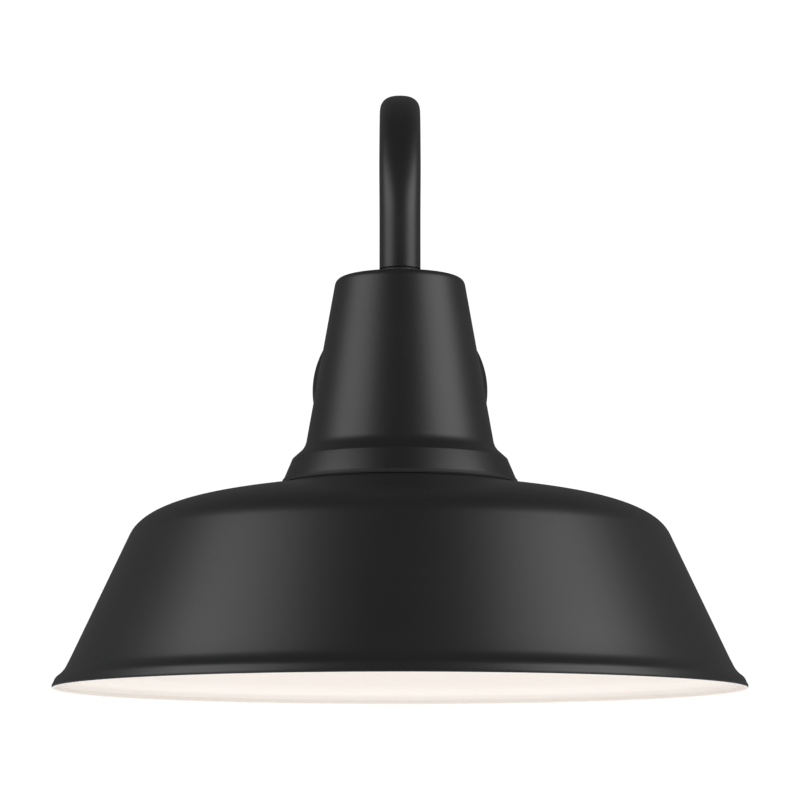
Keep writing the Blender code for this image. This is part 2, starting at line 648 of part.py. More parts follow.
# ---- arm and its fixings --------------------------------------------------------------------
def make_arm(finishes):
    """The bent tube, with a bush and a threaded nipple in each end."""
    steel = finishes["zinc_steel"]
    stations = arm_stations(ARM_START, ARM_END)
    swept_tube("arm", stations, ARM_RADIUS, ARM_BORE, finishes["black_paint"], ARM_SIDES)
    bush = lathe_ring(NIPPLE_HOLE, ARM_BORE - GAP, 0.0, BUSH_LENGTH)
    turned("arm_bush_neck", bush, steel, MEDIUM_STEPS, axis_at(ARM_END + GAP))
    turned(
        "arm_bush_canopy", bush, steel, MEDIUM_STEPS, (0, -ARM_START - GAP, 0), FACE_OUT
    )
    nipple_top = ARM_END + NIPPLE_GRIP
    turned(
        "neck_nipple", lathe_ring(NIPPLE_BORE, NIPPLE_RADIUS, NECK_NIPPLE_BASE, nipple_top),
        steel, MEDIUM_STEPS, axis_at(0.0),
    )
    nipple_front = ARM_START + NIPPLE_GRIP
    turned(
        "canopy_nipple",
        lathe_ring(NIPPLE_BORE, NIPPLE_RADIUS, CANOPY_NIPPLE_BACK, nipple_front),
        steel, MEDIUM_STEPS, (0, 0, 0), FACE_OUT,
    )
    washer = lathe_ring(NIPPLE_HOLE, WASHER_RADIUS, -WASHER_HEIGHT, 0.0)
    turned("neck_washer", washer, steel, MEDIUM_STEPS, axis_at(NECK_WASHER_TOP))
    hex_ring(
        "neck_nut", NUT_FLATS, NIPPLE_HOLE, NUT_HEIGHT, steel, axis_at(NECK_NUT_TOP - NUT_HEIGHT)
    )
    turned(
        "canopy_washer", washer, steel, MEDIUM_STEPS,
        (0, -(CANOPY_DEPTH - CANOPY_WALL - GAP), 0), FACE_OUT,
    )
    hex_ring(
        "canopy_nut", NUT_FLATS, NIPPLE_HOLE, NUT_HEIGHT, steel,
        (0, -(CANOPY_NUT_FRONT - NUT_HEIGHT), 0), FACE_OUT,
    )
    edge = 0.0008
    seal = [
        (NIPPLE_HOLE, 0.0), (ARM_RADIUS, 0.0), (ARM_RADIUS, SEAL_HEIGHT - edge),
        (ARM_RADIUS - edge, SEAL_HEIGHT), (NIPPLE_HOLE, SEAL_HEIGHT),
    ]
    turned("neck_seal", seal, finishes["black_rubber"], MEDIUM_STEPS, axis_at(SEAL_BASE))


# ---- canopy and wall fixings ----------------------------------------------------------------
def make_canopy(finishes):
    """Round cup over the outlet box, its collar round the arm, and the gasket on the wall."""
    shoulder = arc(
        (CANOPY_RADIUS - CANOPY_SHOULDER, CANOPY_DEPTH - CANOPY_SHOULDER),
        CANOPY_SHOULDER, 0, 90, ARC_STEPS,
    )
    inner = CANOPY_SHOULDER - CANOPY_WALL
    hollow = arc(
        (CANOPY_RADIUS - CANOPY_SHOULDER, CANOPY_DEPTH - CANOPY_SHOULDER), inner, 90, 0,
        ARC_STEPS,
    )
    outline = [(CANOPY_RADIUS, CANOPY_BACK)] + shoulder
    outline += [(NIPPLE_HOLE, CANOPY_DEPTH), (NIPPLE_HOLE, CANOPY_DEPTH - CANOPY_WALL)]
    outline += hollow + [(CANOPY_RADIUS - CANOPY_WALL, CANOPY_BACK)]
    canopy = turned(
        "canopy", outline, finishes["black_paint"], LARGE_STEPS, (0, 0, 0), FACE_OUT
    )
    for side, x in (("left", -STUD_X), ("right", STUD_X)):
        drill(
            canopy, f"canopy_hole_{side}", STUD_HOLE, 0.01, (x, -CANOPY_DEPTH, 0), FACE_OUT
        )
    collar = [
        (NIPPLE_HOLE, 0.0), (COLLAR_RADIUS, 0.0), (COLLAR_RADIUS, COLLAR_HEIGHT * 0.30),
        (COLLAR_RADIUS - 2 * COLLAR_EDGE, COLLAR_HEIGHT * 0.45),
        (COLLAR_WAIST, COLLAR_HEIGHT * 0.62), (COLLAR_WAIST, COLLAR_HEIGHT - COLLAR_EDGE),
        (COLLAR_WAIST - COLLAR_EDGE, COLLAR_HEIGHT), (NIPPLE_HOLE, COLLAR_HEIGHT),
    ]
    turned(
        "canopy_collar", collar, finishes["black_paint"], MEDIUM_STEPS,
        (0, -COLLAR_BASE, 0), FACE_OUT,
    )
    turned(
        "wall_gasket", lathe_ring(CANOPY_RADIUS - GASKET_WIDTH, CANOPY_RADIUS, 0.0, GASKET_HEIGHT),
        finishes["foam"], LARGE_STEPS, (0, 0, 0), FACE_OUT,
    )


def rounded_bar(half_length, half_width):
    """Outline of a bar with round ends."""
    flat = half_length - half_width
    right = arc((flat, 0), half_width, -90, 90, 9)
    left = arc((-flat, 0), half_width, 90, 270, 9)
    return right + left


def strap_outline():
    """Outline of the strap: straight sides and arched ends that clear the wall gasket."""
    half = STRAP_WIDTH / 2
    spread = math.degrees(math.asin(half / STRAP_END))
    right = arc((0, 0), STRAP_END, -spread, spread, 5)
    left = arc((0, 0), STRAP_END, 180 - spread, 180 + spread, 5)
    return right + left


def slot_mesh(name):
    """Cutter for one slot of the strap."""
    centre = STRAP_SLOT_OUTER - STRAP_SLOT_LENGTH / 2
    outline = rounded_bar(STRAP_SLOT_LENGTH / 2, STRAP_SLOT_RADIUS)
    builder = bmesh.new()
    points = [builder.verts.new((x + centre, y, -0.01)) for x, y in outline]
    face = builder.faces.new(points)
    raised = bmesh.ops.extrude_face_region(builder, geom=[face])["geom"]
    moved = [item for item in raised if isinstance(item, bmesh.types.BMVert)]
    bmesh.ops.translate(builder, verts=moved, vec=(0, 0, 0.02))
    return close_mesh(name, builder, False)


def make_strap(finishes):
    """Slotted crossbar on the outlet box, its studs and the nuts that hold the canopy."""
    strap = extruded(
        "mounting_strap", strap_outline(), STRAP_THICKNESS, finishes["zinc_steel"],
        (0, -STRAP_THICKNESS / 2, 0), FACE_OUT,
    )
    drill(strap, "strap_centre_hole", STRAP_HOLE_RADIUS, 0.01, (0, 0, 0), FACE_OUT)
    drill(
        strap, "strap_ground_hole", SCREW_HOLE, 0.01, (GROUND_SCREW_X, 0, GROUND_SCREW_Z),
        FACE_OUT,
    )
    for side, turn in (("right", 0.0), ("left", math.pi)):
        cutter = slot_mesh(f"strap_slot_{side}")
        cut_with(strap, f"strap_slot_{side}", cutter, (0, 0, 0), (math.pi / 2, turn, 0))
    screw(
        "strap_ground_screw", finishes["green_screw"], STRAP_THICKNESS,
        (GROUND_SCREW_X, -STRAP_THICKNESS - GAP, GROUND_SCREW_Z), FACE_OUT,
    )
    stud_end = CANOPY_DEPTH + CAP_NUT_HEIGHT
    for side, x in (("left", -STUD_X), ("right", STUD_X)):
        drill(strap, f"strap_stud_hole_{side}", STUD_HOLE, 0.01, (x, 0, 0), FACE_OUT)
        turned(
            f"mounting_stud_{side}",
            [(0.0, GAP), (STUD_RADIUS, GAP), (STUD_RADIUS, stud_end), (0.0, stud_end)],
            finishes["zinc_steel"], SMALL_STEPS, (x, 0, 0), FACE_OUT,
        )
        cap_nut(f"cap_nut_{side}", finishes["black_paint"], (x, -CANOPY_DEPTH - GAP, 0))


def cap_nut(name, material, location):
    """A domed nut whose blind bore takes the end of a stud."""
    bore_end = CAP_NUT_HEIGHT + GAP
    levels = [
        (lambda a: STUD_HOLE, 0.0),
        (lambda a: hexagon_radius(CAP_NUT_FLATS, a), 0.0),
        (lambda a: hexagon_radius(CAP_NUT_FLATS, a), CAP_NUT_HEIGHT * 0.8),
    ]
    dome = CAP_NUT_FLATS / 2 * 0.92
    for x, y in arc((0, 0), 1.0, 0, 90, ARC_STEPS)[:-1]:
        levels.append((lambda a, r=dome * x: r, CAP_NUT_HEIGHT + CAP_NUT_DOME * y))
    builder = bmesh.new()
    rings = []
    for radius_at, height in levels:
        ring = []
        for step in range(HEX_STEPS):
            angle = 2 * math.pi * step / HEX_STEPS
            radius = radius_at(angle)
            ring.append(
                builder.verts.new((radius * math.cos(angle), radius * math.sin(angle), height))
            )
        rings.append(ring)
    rings.insert(0, [builder.verts.new((vert.co.x, vert.co.y, bore_end)) for vert in rings[0]])
    tip = builder.verts.new((0, 0, CAP_NUT_HEIGHT + CAP_NUT_DOME))
    root = builder.verts.new((0, 0, bore_end))
    for first, second in zip(rings, rings[1:]):
        join_rings(builder, first, second)
    for ring, point in ((rings[-1], tip), (rings[0], root)):
        for step in range(HEX_STEPS):
            builder.faces.new((ring[step], ring[(step + 1) % HEX_STEPS], point))
    mesh = close_mesh(name, builder, True)
    return add_object(name, mesh, material, location, FACE_OUT)


# ---- lampholder -----------------------------------------------------------------------------
def make_bracket(finishes):
    """Bent strip under the neck's top, whose two feet carry the lampholder."""
    sheet = BRACKET_SHEET
    foot = LEG_OUTSIDE + BRACKET_FOOT
    outline = [
        (-foot, 0.0), (-LEG_INSIDE, 0.0), (-LEG_INSIDE, BRACKET_DROP - sheet),
        (LEG_INSIDE, BRACKET_DROP - sheet), (LEG_INSIDE, 0.0), (foot, 0.0), (foot, sheet),
        (LEG_OUTSIDE, sheet), (LEG_OUTSIDE, BRACKET_DROP), (-LEG_OUTSIDE, BRACKET_DROP),
        (-LEG_OUTSIDE, sheet), (-foot, sheet),
    ]
    bracket = extruded(
        "socket_bracket", outline, BRACKET_WIDTH, finishes["zinc_steel"],
        axis_at(BRACKET_BASE), FACE_OUT,
    )
    drill(bracket, "bracket_top_hole", NIPPLE_HOLE, 0.01, axis_at(BRACKET_TOP))
    for side, x in (("left", -SOCKET_SCREW_X), ("right", SOCKET_SCREW_X)):
        drill(
            bracket, f"bracket_foot_hole_{side}", SCREW_HOLE, 0.01,
            (x, -ARM_REACH, BRACKET_BASE),
        )
    return bracket


def make_lampholder(finishes):
    """Porcelain lampholder with its screw shell, centre contact, terminals and fixings."""
    ceiling = HOLDER_HEIGHT - HOLDER_ROOF
    flange_base = HOLDER_HEIGHT - HOLDER_FLANGE_HEIGHT
    rivet = RIVET_RADIUS
    outline = [
        (rivet + GAP, ceiling), (HOLDER_BORE, ceiling), (HOLDER_BORE, HOLDER_MOUTH),
        (HOLDER_BORE + HOLDER_FLARE, 0.0), (HOLDER_RADIUS - HOLDER_EDGE, 0.0),
        (HOLDER_RADIUS, HOLDER_EDGE),
        (HOLDER_RADIUS, flange_base), (HOLDER_FLANGE_RADIUS, flange_base),
        (HOLDER_FLANGE_RADIUS, HOLDER_HEIGHT), (rivet + GAP, HOLDER_HEIGHT),
    ]
    holder = turned(
        "lampholder", outline, finishes["porcelain"], MEDIUM_STEPS, axis_at(HOLDER_BASE)
    )
    for side, x in (("left", -SOCKET_SCREW_X), ("right", SOCKET_SCREW_X)):
        drill(
            holder, f"holder_hole_{side}", SCREW_HOLE, 0.03, (x, -ARM_REACH, HOLDER_TOP)
        )
        length = BRACKET_SHEET + HOLDER_FLANGE_HEIGHT + SMALL_NUT_HEIGHT + SMALL_SCREW_SPARE
        screw(
            f"socket_screw_{side}", finishes["zinc_steel"], length,
            (x, -ARM_REACH, BRACKET_BASE + BRACKET_SHEET + GAP),
        )
        hex_ring(
            f"socket_nut_{side}", SMALL_NUT_FLATS, SCREW_HOLE, SMALL_NUT_HEIGHT,
            finishes["zinc_steel"],
            (x, -ARM_REACH, HOLDER_TOP - HOLDER_FLANGE_HEIGHT - GAP - SMALL_NUT_HEIGHT),
        )
    shell_top = HOLDER_CEILING - GAP
    shell = [
        (SHELL_BORE, shell_top - SHELL_LENGTH), (SHELL_RADIUS, shell_top - SHELL_LENGTH),
        (SHELL_RADIUS, shell_top), (CONTACT_RADIUS + CONTACT_ROOM, shell_top),
        (CONTACT_RADIUS + CONTACT_ROOM, shell_top - SHELL_WALL),
        (SHELL_BORE, shell_top - SHELL_WALL),
    ]
    turned("screw_shell", shell, finishes["brass"], MEDIUM_STEPS, axis_at(0.0))
    contact_face = shell_top - CONTACT_THICKNESS
    stem_top = HOLDER_TOP + 0.0006
    contact = [
        (0.0, contact_face), (CONTACT_RADIUS * 0.7, contact_face),
        (CONTACT_RADIUS, contact_face + 0.0006), (CONTACT_RADIUS, shell_top),
        (rivet, shell_top), (rivet, stem_top), (0.0, stem_top),
    ]
    turned("centre_contact", contact, finishes["brass"], SMALL_STEPS, axis_at(0.0))
    for name, kind, (x, y) in (
        ("terminal_screw_line", "brass", (0.0, -TERMINAL_REACH)),
        ("terminal_screw_neutral", "nickel", terminal_place("neutral")),
    ):
        depth = 2 * (TERMINAL_BITE + GAP)
        drill(holder, f"{name}_hole", SCREW_HOLE, depth, (x, y - ARM_REACH, HOLDER_TOP))
        screw(name, finishes[kind], TERMINAL_BITE, (x, y - ARM_REACH, HOLDER_TOP + GAP))


def terminal_place(lead):
    """Where a lead's terminal stands, from the shade's axis."""
    angle = math.radians(LEAD_ANGLES[lead])
    return (TERMINAL_REACH * math.cos(angle), -TERMINAL_REACH * math.sin(angle))


# ---- bulb -----------------------------------------------------------------------------------
def make_bulb(finishes):
    """The lamp: globe, screw cap, insulator, contact, and the stem with its filament."""
    cap_inside = BULB_CAP_RADIUS - BULB_CAP_WALL
    shoulder_base = BULB_CAP_TOP - BULB_CAP_SHOULDER
    roof = BULB_CAP_TOP - BULB_CAP_WALL
    cap = [
        (BULB_CAP_RADIUS, BULB_CAP_BASE), (BULB_CAP_RADIUS, shoulder_base),
        (BULB_TIP_HOLE + 0.0018, BULB_CAP_TOP), (BULB_TIP_HOLE, BULB_CAP_TOP),
        (BULB_TIP_HOLE, roof), (BULB_TIP_HOLE + 0.0016, roof),
        (cap_inside, shoulder_base - BULB_CAP_WALL / 2), (cap_inside, BULB_CAP_BASE),
    ]
    turned("bulb_cap", cap, finishes["nickel"], MEDIUM_STEPS, axis_at(0.0))
    button = BUTTON_RADIUS
    button_base = BULB_TIP - BUTTON_HEIGHT
    rim = BULB_TIP_HOLE - GAP
    insulator = [
        (0.0, BULB_CAP_TOP - 0.0012), (rim, BULB_CAP_TOP - 0.0012),
        (rim, BULB_CAP_TOP + 0.0010), (button + 2 * GAP, button_base - GAP),
        (0.0, button_base - GAP),
    ]
    turned("bulb_insulator", insulator, finishes["black_glass"], MEDIUM_STEPS, axis_at(0.0))
    contact = [
        (0.0, button_base), (button, button_base), (button * 0.92, BULB_TIP - 0.0005),
        (button * 0.5, BULB_TIP), (0.0, BULB_TIP),
    ]
    turned("bulb_contact", contact, finishes["nickel"], SMALL_STEPS, axis_at(0.0))
    neck_radius = cap_inside - GAP
    neck_top = BULB_CAP_BASE + GLASS_GRIP
    skin = globe_curve(neck_radius, GLOBE_STEPS)
    outside = [(neck_radius, neck_top)] + skin
    inside = [(radius - BULB_GLASS, height) for radius, height in outside[:2]]
    inside += [
        (point[0] * (BULB_RADIUS - BULB_GLASS) / BULB_RADIUS, inner_height(point[1]))
        for point in skin[1:]
    ]
    globe = [(0.0, outside[-1][1])] + outside[-2::-1]
    globe += inside[:-1] + [(0.0, inside[-1][1])]
    turned("bulb_globe", globe, finishes["frosted_glass"], MEDIUM_STEPS, axis_at(0.0))
    stem_radius = neck_radius - BULB_GLASS - GAP
    stem_top = neck_top - 0.0010
    stem = [
        (0.0, BULB_CENTRE + 0.0100), (STEM_RADIUS, BULB_CENTRE + 0.0105),
        (STEM_RADIUS + 0.0006, BULB_CAP_BASE - 0.0080), (stem_radius, BULB_CAP_BASE + 0.0015),
        (stem_radius, stem_top), (0.0, stem_top),
    ]
    turned("bulb_stem", stem, finishes["clear_glass"], SMALL_STEPS, axis_at(0.0))
    section = arc((COIL_RADIUS, BULB_CENTRE + 0.0020), COIL_WIRE, 0, 300, 5)
    turned("filament", section, finishes["tungsten"], MEDIUM_STEPS, axis_at(0.0))


def inner_height(height):
    """Height of the globe's inner skin beside a point of its outer one."""
    return BULB_CENTRE + (height - BULB_CENTRE) * (BULB_RADIUS - BULB_GLASS) / BULB_RADIUS


def globe_curve(neck_radius, steps):
    """Outside of the globe, from the cap to its lowest point.

    A ball below its widest line; above it the radius falls back to the neck's along a cosine.
    """
    top = BULB_CAP_BASE - GAP
    points = []
    for step in range(steps // 2 + 1):
        share = step / (steps // 2)
        height = top + (BULB_CENTRE - top) * share
        blend = (1 - math.cos(math.pi * share ** 0.85)) / 2
        points.append((neck_radius + (BULB_RADIUS - neck_radius) * blend, height))
    for step in range(1, steps // 2 + 1):
        angle = math.pi / 2 * step / (steps // 2)
        points.append(
            (BULB_RADIUS * math.cos(angle), BULB_CENTRE - BULB_RADIUS * math.sin(angle))
        )
    return points


# ---- leads ----------------------------------------------------------------------------------
def smooth_points(points, spacing):
    """Points along a smooth curve through the given ones, about a spacing apart."""
    padded = [2 * points[0] - points[1]] + points + [2 * points[-1] - points[-2]]
    result = [points[0]]
    for index in range(1, len(padded) - 2):
        before, first, second, after = padded[index - 1:index + 3]
        steps = max(1, round((second - first).length / spacing))
        for step in range(1, steps + 1):
            t = step / steps
            point = 2 * first + (second - before) * t
            point += (2 * before - 5 * first + 4 * second - after) * t * t
            point += (3 * first - before - 3 * second + after) * t ** 3
            result.append(point / 2)
    return result


def lead_route(lead):
    """Route of one lead from its connector in the canopy to its terminal in the neck."""
    angle = math.radians(LEAD_ANGLES[lead])
    radial = Vector((math.cos(angle), 0, math.sin(angle)))
    halfway = (LEAD_ELBOW + CANOPY_NIPPLE_BACK) / 2
    points = [
        radial * (CONNECTOR_START + CONNECTOR_SOCKET - GAP) + Vector((0, -CONNECTOR_PLANE, 0)),
        radial * (CONNECTOR_START - 0.0030) + Vector((0, -CONNECTOR_PLANE, 0)),
        radial * (LEAD_OFFSET + 0.0057) + Vector((0, -LEAD_ELBOW, 0)),
        radial * (LEAD_OFFSET + 0.0007) + Vector((0, -halfway, 0)),
        radial * LEAD_OFFSET + Vector((0, -CANOPY_NIPPLE_BACK, 0)),
    ]
    for centre, direction in arm_stations(ARM_START, ARM_END):
        across = side_of(direction)
        points.append(
            centre + Vector((math.cos(angle), 0, 0)) * LEAD_OFFSET
            + across * math.sin(angle) * LEAD_OFFSET
        )
    spot = Vector((math.cos(angle), -math.sin(angle), 0))
    axis = Vector(axis_at(0.0))
    points.append(axis + spot * LEAD_OFFSET + Vector((0, 0, NECK_NIPPLE_BASE)))
    if lead == "ground":
        end = Vector((LEG_INSIDE - LEAD_RADIUS - GAP, LEAD_OFFSET, GROUND_LEAD_END))
        points.append(axis + spot * 0.0060 + Vector((0, 0, NECK_NIPPLE_BASE - 0.0050)))
        points.append(axis + Vector((end.x, end.y, end.z + 0.0050)))
        points.append(axis + end)
        return points
    reach = spot * TERMINAL_REACH
    head = HOLDER_TOP + 2 * GAP + SCREW_HEAD_HEIGHT
    points.append(axis + spot * 0.0050 + Vector((0, 0, (NECK_NIPPLE_BASE + head) / 2)))
    points.append(axis + reach + Vector((0, 0, head + 0.0100)))
    points.append(axis + reach + Vector((0, 0, head)))
    return points


def make_leads(finishes):
    """Three insulated leads through the arm, each in a twist-on connector in the canopy."""
    for lead, angle_degrees in LEAD_ANGLES.items():
        curve = bpy.data.curves.new(f"lead_{lead}", "CURVE")
        curve.dimensions = "3D"
        curve.bevel_depth = LEAD_RADIUS
        curve.bevel_resolution = 1
        curve.use_fill_caps = True
        spline = curve.splines.new("POLY")
        route = smooth_points(lead_route(lead), LEAD_STEP)
        spline.points.add(len(route) - 1)
        for point, place in zip(spline.points, route):
            point.co = (*place, 1.0)
        insulation = finishes[f"lead_{LEAD_COLOURS[lead]}"]
        add_object(f"lead_{lead}", curve, insulation, (0, 0, 0), (0, 0, 0))
        mouth = LEAD_RADIUS + 2 * GAP
        outline = [
            (mouth, 0.0), (CONNECTOR_RADIUS, 0.0), (CONNECTOR_RADIUS, CONNECTOR_LENGTH * 0.35),
            (CONNECTOR_TIP_RADIUS, CONNECTOR_LENGTH - 0.0015),
            (CONNECTOR_TIP_RADIUS - 0.0012, CONNECTOR_LENGTH), (0.0, CONNECTOR_LENGTH),
        ]
        outline = [(0.0, CONNECTOR_SOCKET), (mouth, CONNECTOR_SOCKET)] + outline
        angle = math.radians(angle_degrees)
        radial = Vector((math.cos(angle), 0, math.sin(angle)))
        turn = radial.to_track_quat("Z", "Y").to_euler()
        place = radial * CONNECTOR_START + Vector((0, -CONNECTOR_PLANE, 0))
        turned(
            f"connector_{lead}", outline, finishes["connector"], SMALL_STEPS, place, turn
        )


def make_bracket_ground(bracket, finishes):
    """Green screw through the bracket's right leg, for the ground lead."""
    height = GROUND_LEAD_END - SCREW_HEAD_RADIUS - GAP
    place = (LEG_INSIDE - GAP, -ARM_REACH + LEAD_OFFSET, height)
    drill(
        bracket, "bracket_ground_hole", SCREW_HOLE, 0.01, (LEG_INSIDE, place[1], height),
        (0, math.pi / 2, 0),
    )
    screw(
        "bracket_ground_screw", finishes["green_screw"], BRACKET_SHEET + 0.0030, place,
        (0, -math.pi / 2, 0),
    )


def main():
    """Clear the scene and build every piece."""
    for item in list(bpy.data.objects):
        bpy.data.objects.remove(item)
    finishes = make_finishes()
    make_shade(finishes)
    make_neck(finishes)
    make_shade_fixings(finishes)
    make_arm(finishes)
    make_canopy(finishes)
    make_strap(finishes)
    bracket = make_bracket(finishes)
    make_lampholder(finishes)
    make_bulb(finishes)
    make_leads(finishes)
    make_bracket_ground(bracket, finishes)


main()
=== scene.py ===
"""Looks of a gooseneck barn light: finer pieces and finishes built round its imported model.

Lengths are metres.  The wall is the plane Y = 0, the light reaches out along -Y, and the shade
hangs mouth down about a vertical axis.  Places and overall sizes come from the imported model's
boxes; the values below are the details that a box doesn't give.
"""

import json
import math

import bmesh
import bpy
import numpy as np
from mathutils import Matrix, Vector

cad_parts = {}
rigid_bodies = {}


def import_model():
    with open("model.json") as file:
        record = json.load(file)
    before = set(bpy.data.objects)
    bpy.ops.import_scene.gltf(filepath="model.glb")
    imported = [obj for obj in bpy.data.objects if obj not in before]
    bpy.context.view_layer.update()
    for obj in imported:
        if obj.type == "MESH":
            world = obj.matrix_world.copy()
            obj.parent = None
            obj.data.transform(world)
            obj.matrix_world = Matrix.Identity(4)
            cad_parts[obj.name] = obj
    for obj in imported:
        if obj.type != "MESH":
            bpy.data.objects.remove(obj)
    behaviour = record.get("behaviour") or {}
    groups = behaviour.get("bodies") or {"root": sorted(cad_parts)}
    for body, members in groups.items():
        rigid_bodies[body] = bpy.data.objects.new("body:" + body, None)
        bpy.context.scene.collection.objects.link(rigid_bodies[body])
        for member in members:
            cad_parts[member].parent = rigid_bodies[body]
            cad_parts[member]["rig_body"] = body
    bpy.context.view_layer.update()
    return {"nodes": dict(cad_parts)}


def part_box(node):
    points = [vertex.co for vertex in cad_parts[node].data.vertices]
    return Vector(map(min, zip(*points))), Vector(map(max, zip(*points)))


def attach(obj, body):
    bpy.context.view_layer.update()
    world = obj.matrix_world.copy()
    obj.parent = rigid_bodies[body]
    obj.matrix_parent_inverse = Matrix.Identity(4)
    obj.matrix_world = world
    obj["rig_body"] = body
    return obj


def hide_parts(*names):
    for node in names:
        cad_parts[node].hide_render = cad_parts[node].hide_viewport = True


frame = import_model()

# ---- view -------------------------------------------------------------------------------------
CAMERA_DISTANCE = 1.900      # in front of the shade's axis
CAMERA_DROP = 0.0874         # below the rim
CAMERA_PITCH = 7.772         # degrees up
CAMERA_LENS = 145.17         # millimetres
CAMERA_SENSOR = 36.0         # millimetres
FLOOR_DROP = 1.600           # floor below the rim
FLOOR_SPAN = 40.0            # width of the square floor
FLOOR_POINTS = 9             # points along each of its sides

# ---- details ----------------------------------------------------------------------------------
FINE = 160                   # sides of the large turned pieces
MEDIUM = 72
SMALL = 40
FACETED = 96                 # sides of the arm, nuts and screws
GAP = 0.0003                 # between pieces that fit together
DOUBLE = 2e-6                # points nearer than this become one

CROWN_SLOPE = math.radians(19.5)
CROWN_REACH = 0.0194         # handle of the crown's curve
SHOULDER_REACH = 0.0267      # handle of its lower end
SHOULDER_FALL = 0.0311       # seat down to the end of the curve
CONE_ANGLE = math.radians(24.9)
RIM_FLARE = 0.0105
RIM_HEIGHT = 0.0174
RIM_BENDS = (                # inset from the edge, height and radius of the rim's two bends
    (0.0066, 0.0096, 0.0155), (0.00155, 0.0059, 0.0065),
)
SHADE_WALL = 0.0012
SHADE_LIP = 0.0018           # thickness of the rolled lip
LIP_BEND = 0.9               # rounding of its edges, as a share of half its thickness
LIP_START = 0.0020           # height over the rim where its outer face begins
LIP_END = 0.0026             # and where its inner face ends
LIP_OUTSIDE = 3              # points of the lip's outline that are black

NECK_FILLET = 0.0116
NECK_CORNER = 0.0050
NECK_TOP_RADIUS = 0.0382
NECK_TOP_WALL = 0.0030
NECK_LEDGE = 0.0080          # thickness of the flange's inner ledge
FLANGE_HEIGHT = 0.0133
FLANGE_TAPER = 0.0056
FLANGE_BEVEL = 0.0076
FLANGE_BEVEL_RISE = 0.0068
FLANGE_BEARING = 0.0194
NECK_WALL = 0.0026

ARM_WALL = 0.0015
ARCH_RADIUS = 0.0850
ARM_LEVEL = 0.0250           # level length past the canopy's collar
ARM_STRAIGHT = 0.0893        # straight length between the two bends
ARM_STEP = 0.0020            # between the rings of the arm
FLATTENING = 0.13            # loss of the tube's height in the arch, as bending flattens it
WIDENING = 0.02              # gain of its width there
SQUARENESS = 0.30            # fuller corners of the flattened section
FLATTENING_TURN = 0.5        # radians of the arch over which the section changes at each end

THREAD_STEPS = 6             # rows in each turn of a thread
THREAD_FADE = 0.8            # turns over which a thread runs out at each end
NIPPLE_PITCH = 0.0014
NIPPLE_WALL = 0.0018
NIPPLE_THREAD = 0.0006       # depth of its thread
STUD_PITCH = 0.0007
STUD_THREAD = 0.0003
CAP_PITCH = 0.00363          # screw cap and shell
CAP_THREAD = 0.0007
CAP_SHEET = 0.0004
ROLLED_STEPS = 16            # rows in each turn of a rolled thread
ROLLED_FADE = 0.4

NUT_FACE = 0.97              # radius of a nut's end face, as a share of half its width
NUT_CONE = math.tan(math.radians(30))
NUT_CHAMFER = 0.08           # of its bore, as a share of its height
DOME_FOOT = 0.92             # radius of a cap nut's dome, as a share of half its width
LOCK_NUT_WALL = 0.0040       # nipple to the nut's flats
SMALL_FLATS = 0.0066         # width of the small nuts
SMALL_BORE = 0.0023
HEAD_RADIUS = 0.0040
HEAD_HEIGHT = 0.0024
SHANK_RADIUS = 0.0020


# ---- places -----------------------------------------------------------------------------------
def corners(node):
    """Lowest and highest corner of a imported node, as arrays."""
    low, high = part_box(node)
    return np.array(low), np.array(high)


def half_width(node):
    """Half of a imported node's width, which is the radius of a turned one."""
    low, high = corners(node)
    return (high[0] - low[0]) / 2


FACING_OUT = (               # nodes turned about a line out of the wall, the rest stand upright
    "wall_gasket", "canopy_collar", "canopy_nut", "canopy_washer", "canopy_nipple",
    "arm_bush_canopy",
)
SHADE_LOW, SHADE_HIGH = corners("shade")
AXIS = ((SHADE_LOW + SHADE_HIGH) / 2)[:2]
RIM = SHADE_LOW[2]
SHADE_HEIGHT = SHADE_HIGH[2] - RIM
SHADE_RADIUS = half_width("shade")
FLANGE_RADIUS = half_width("neck")
NECK_HOLE = FLANGE_RADIUS - FLANGE_BEARING
NIPPLE_RADIUS = half_width("neck_nipple")
NIPPLE_HOLE = NIPPLE_RADIUS + GAP


def length_of(node):
    """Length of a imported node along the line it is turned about."""
    low, high = corners(node)
    return high[1] - low[1] if node in FACING_OUT else high[2] - low[2]


def on_axis(points, height=0.0):
    """Points of a piece stood on the shade's axis."""
    return points + np.array([AXIS[0], AXIS[1], height])


def on_wall(points, x=0.0, out=0.0, z=0.0):
    """Points of a piece whose own +Z points away from the wall: (x, y, z) goes to (x, -z, y)."""
    turned_out = np.stack([points[..., 0], -points[..., 2], points[..., 1]], axis=-1)
    return turned_out + np.array([x, -out, z])


def set_in(points, node):
    """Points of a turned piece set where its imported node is."""
    low, high = corners(node)
    return on_wall(points, out=-high[1]) if node in FACING_OUT else on_axis(points, low[2])


# ---- surfaces ---------------------------------------------------------------------------------
def unit(vector):
    """The vector at length one."""
    return vector / np.linalg.norm(vector)


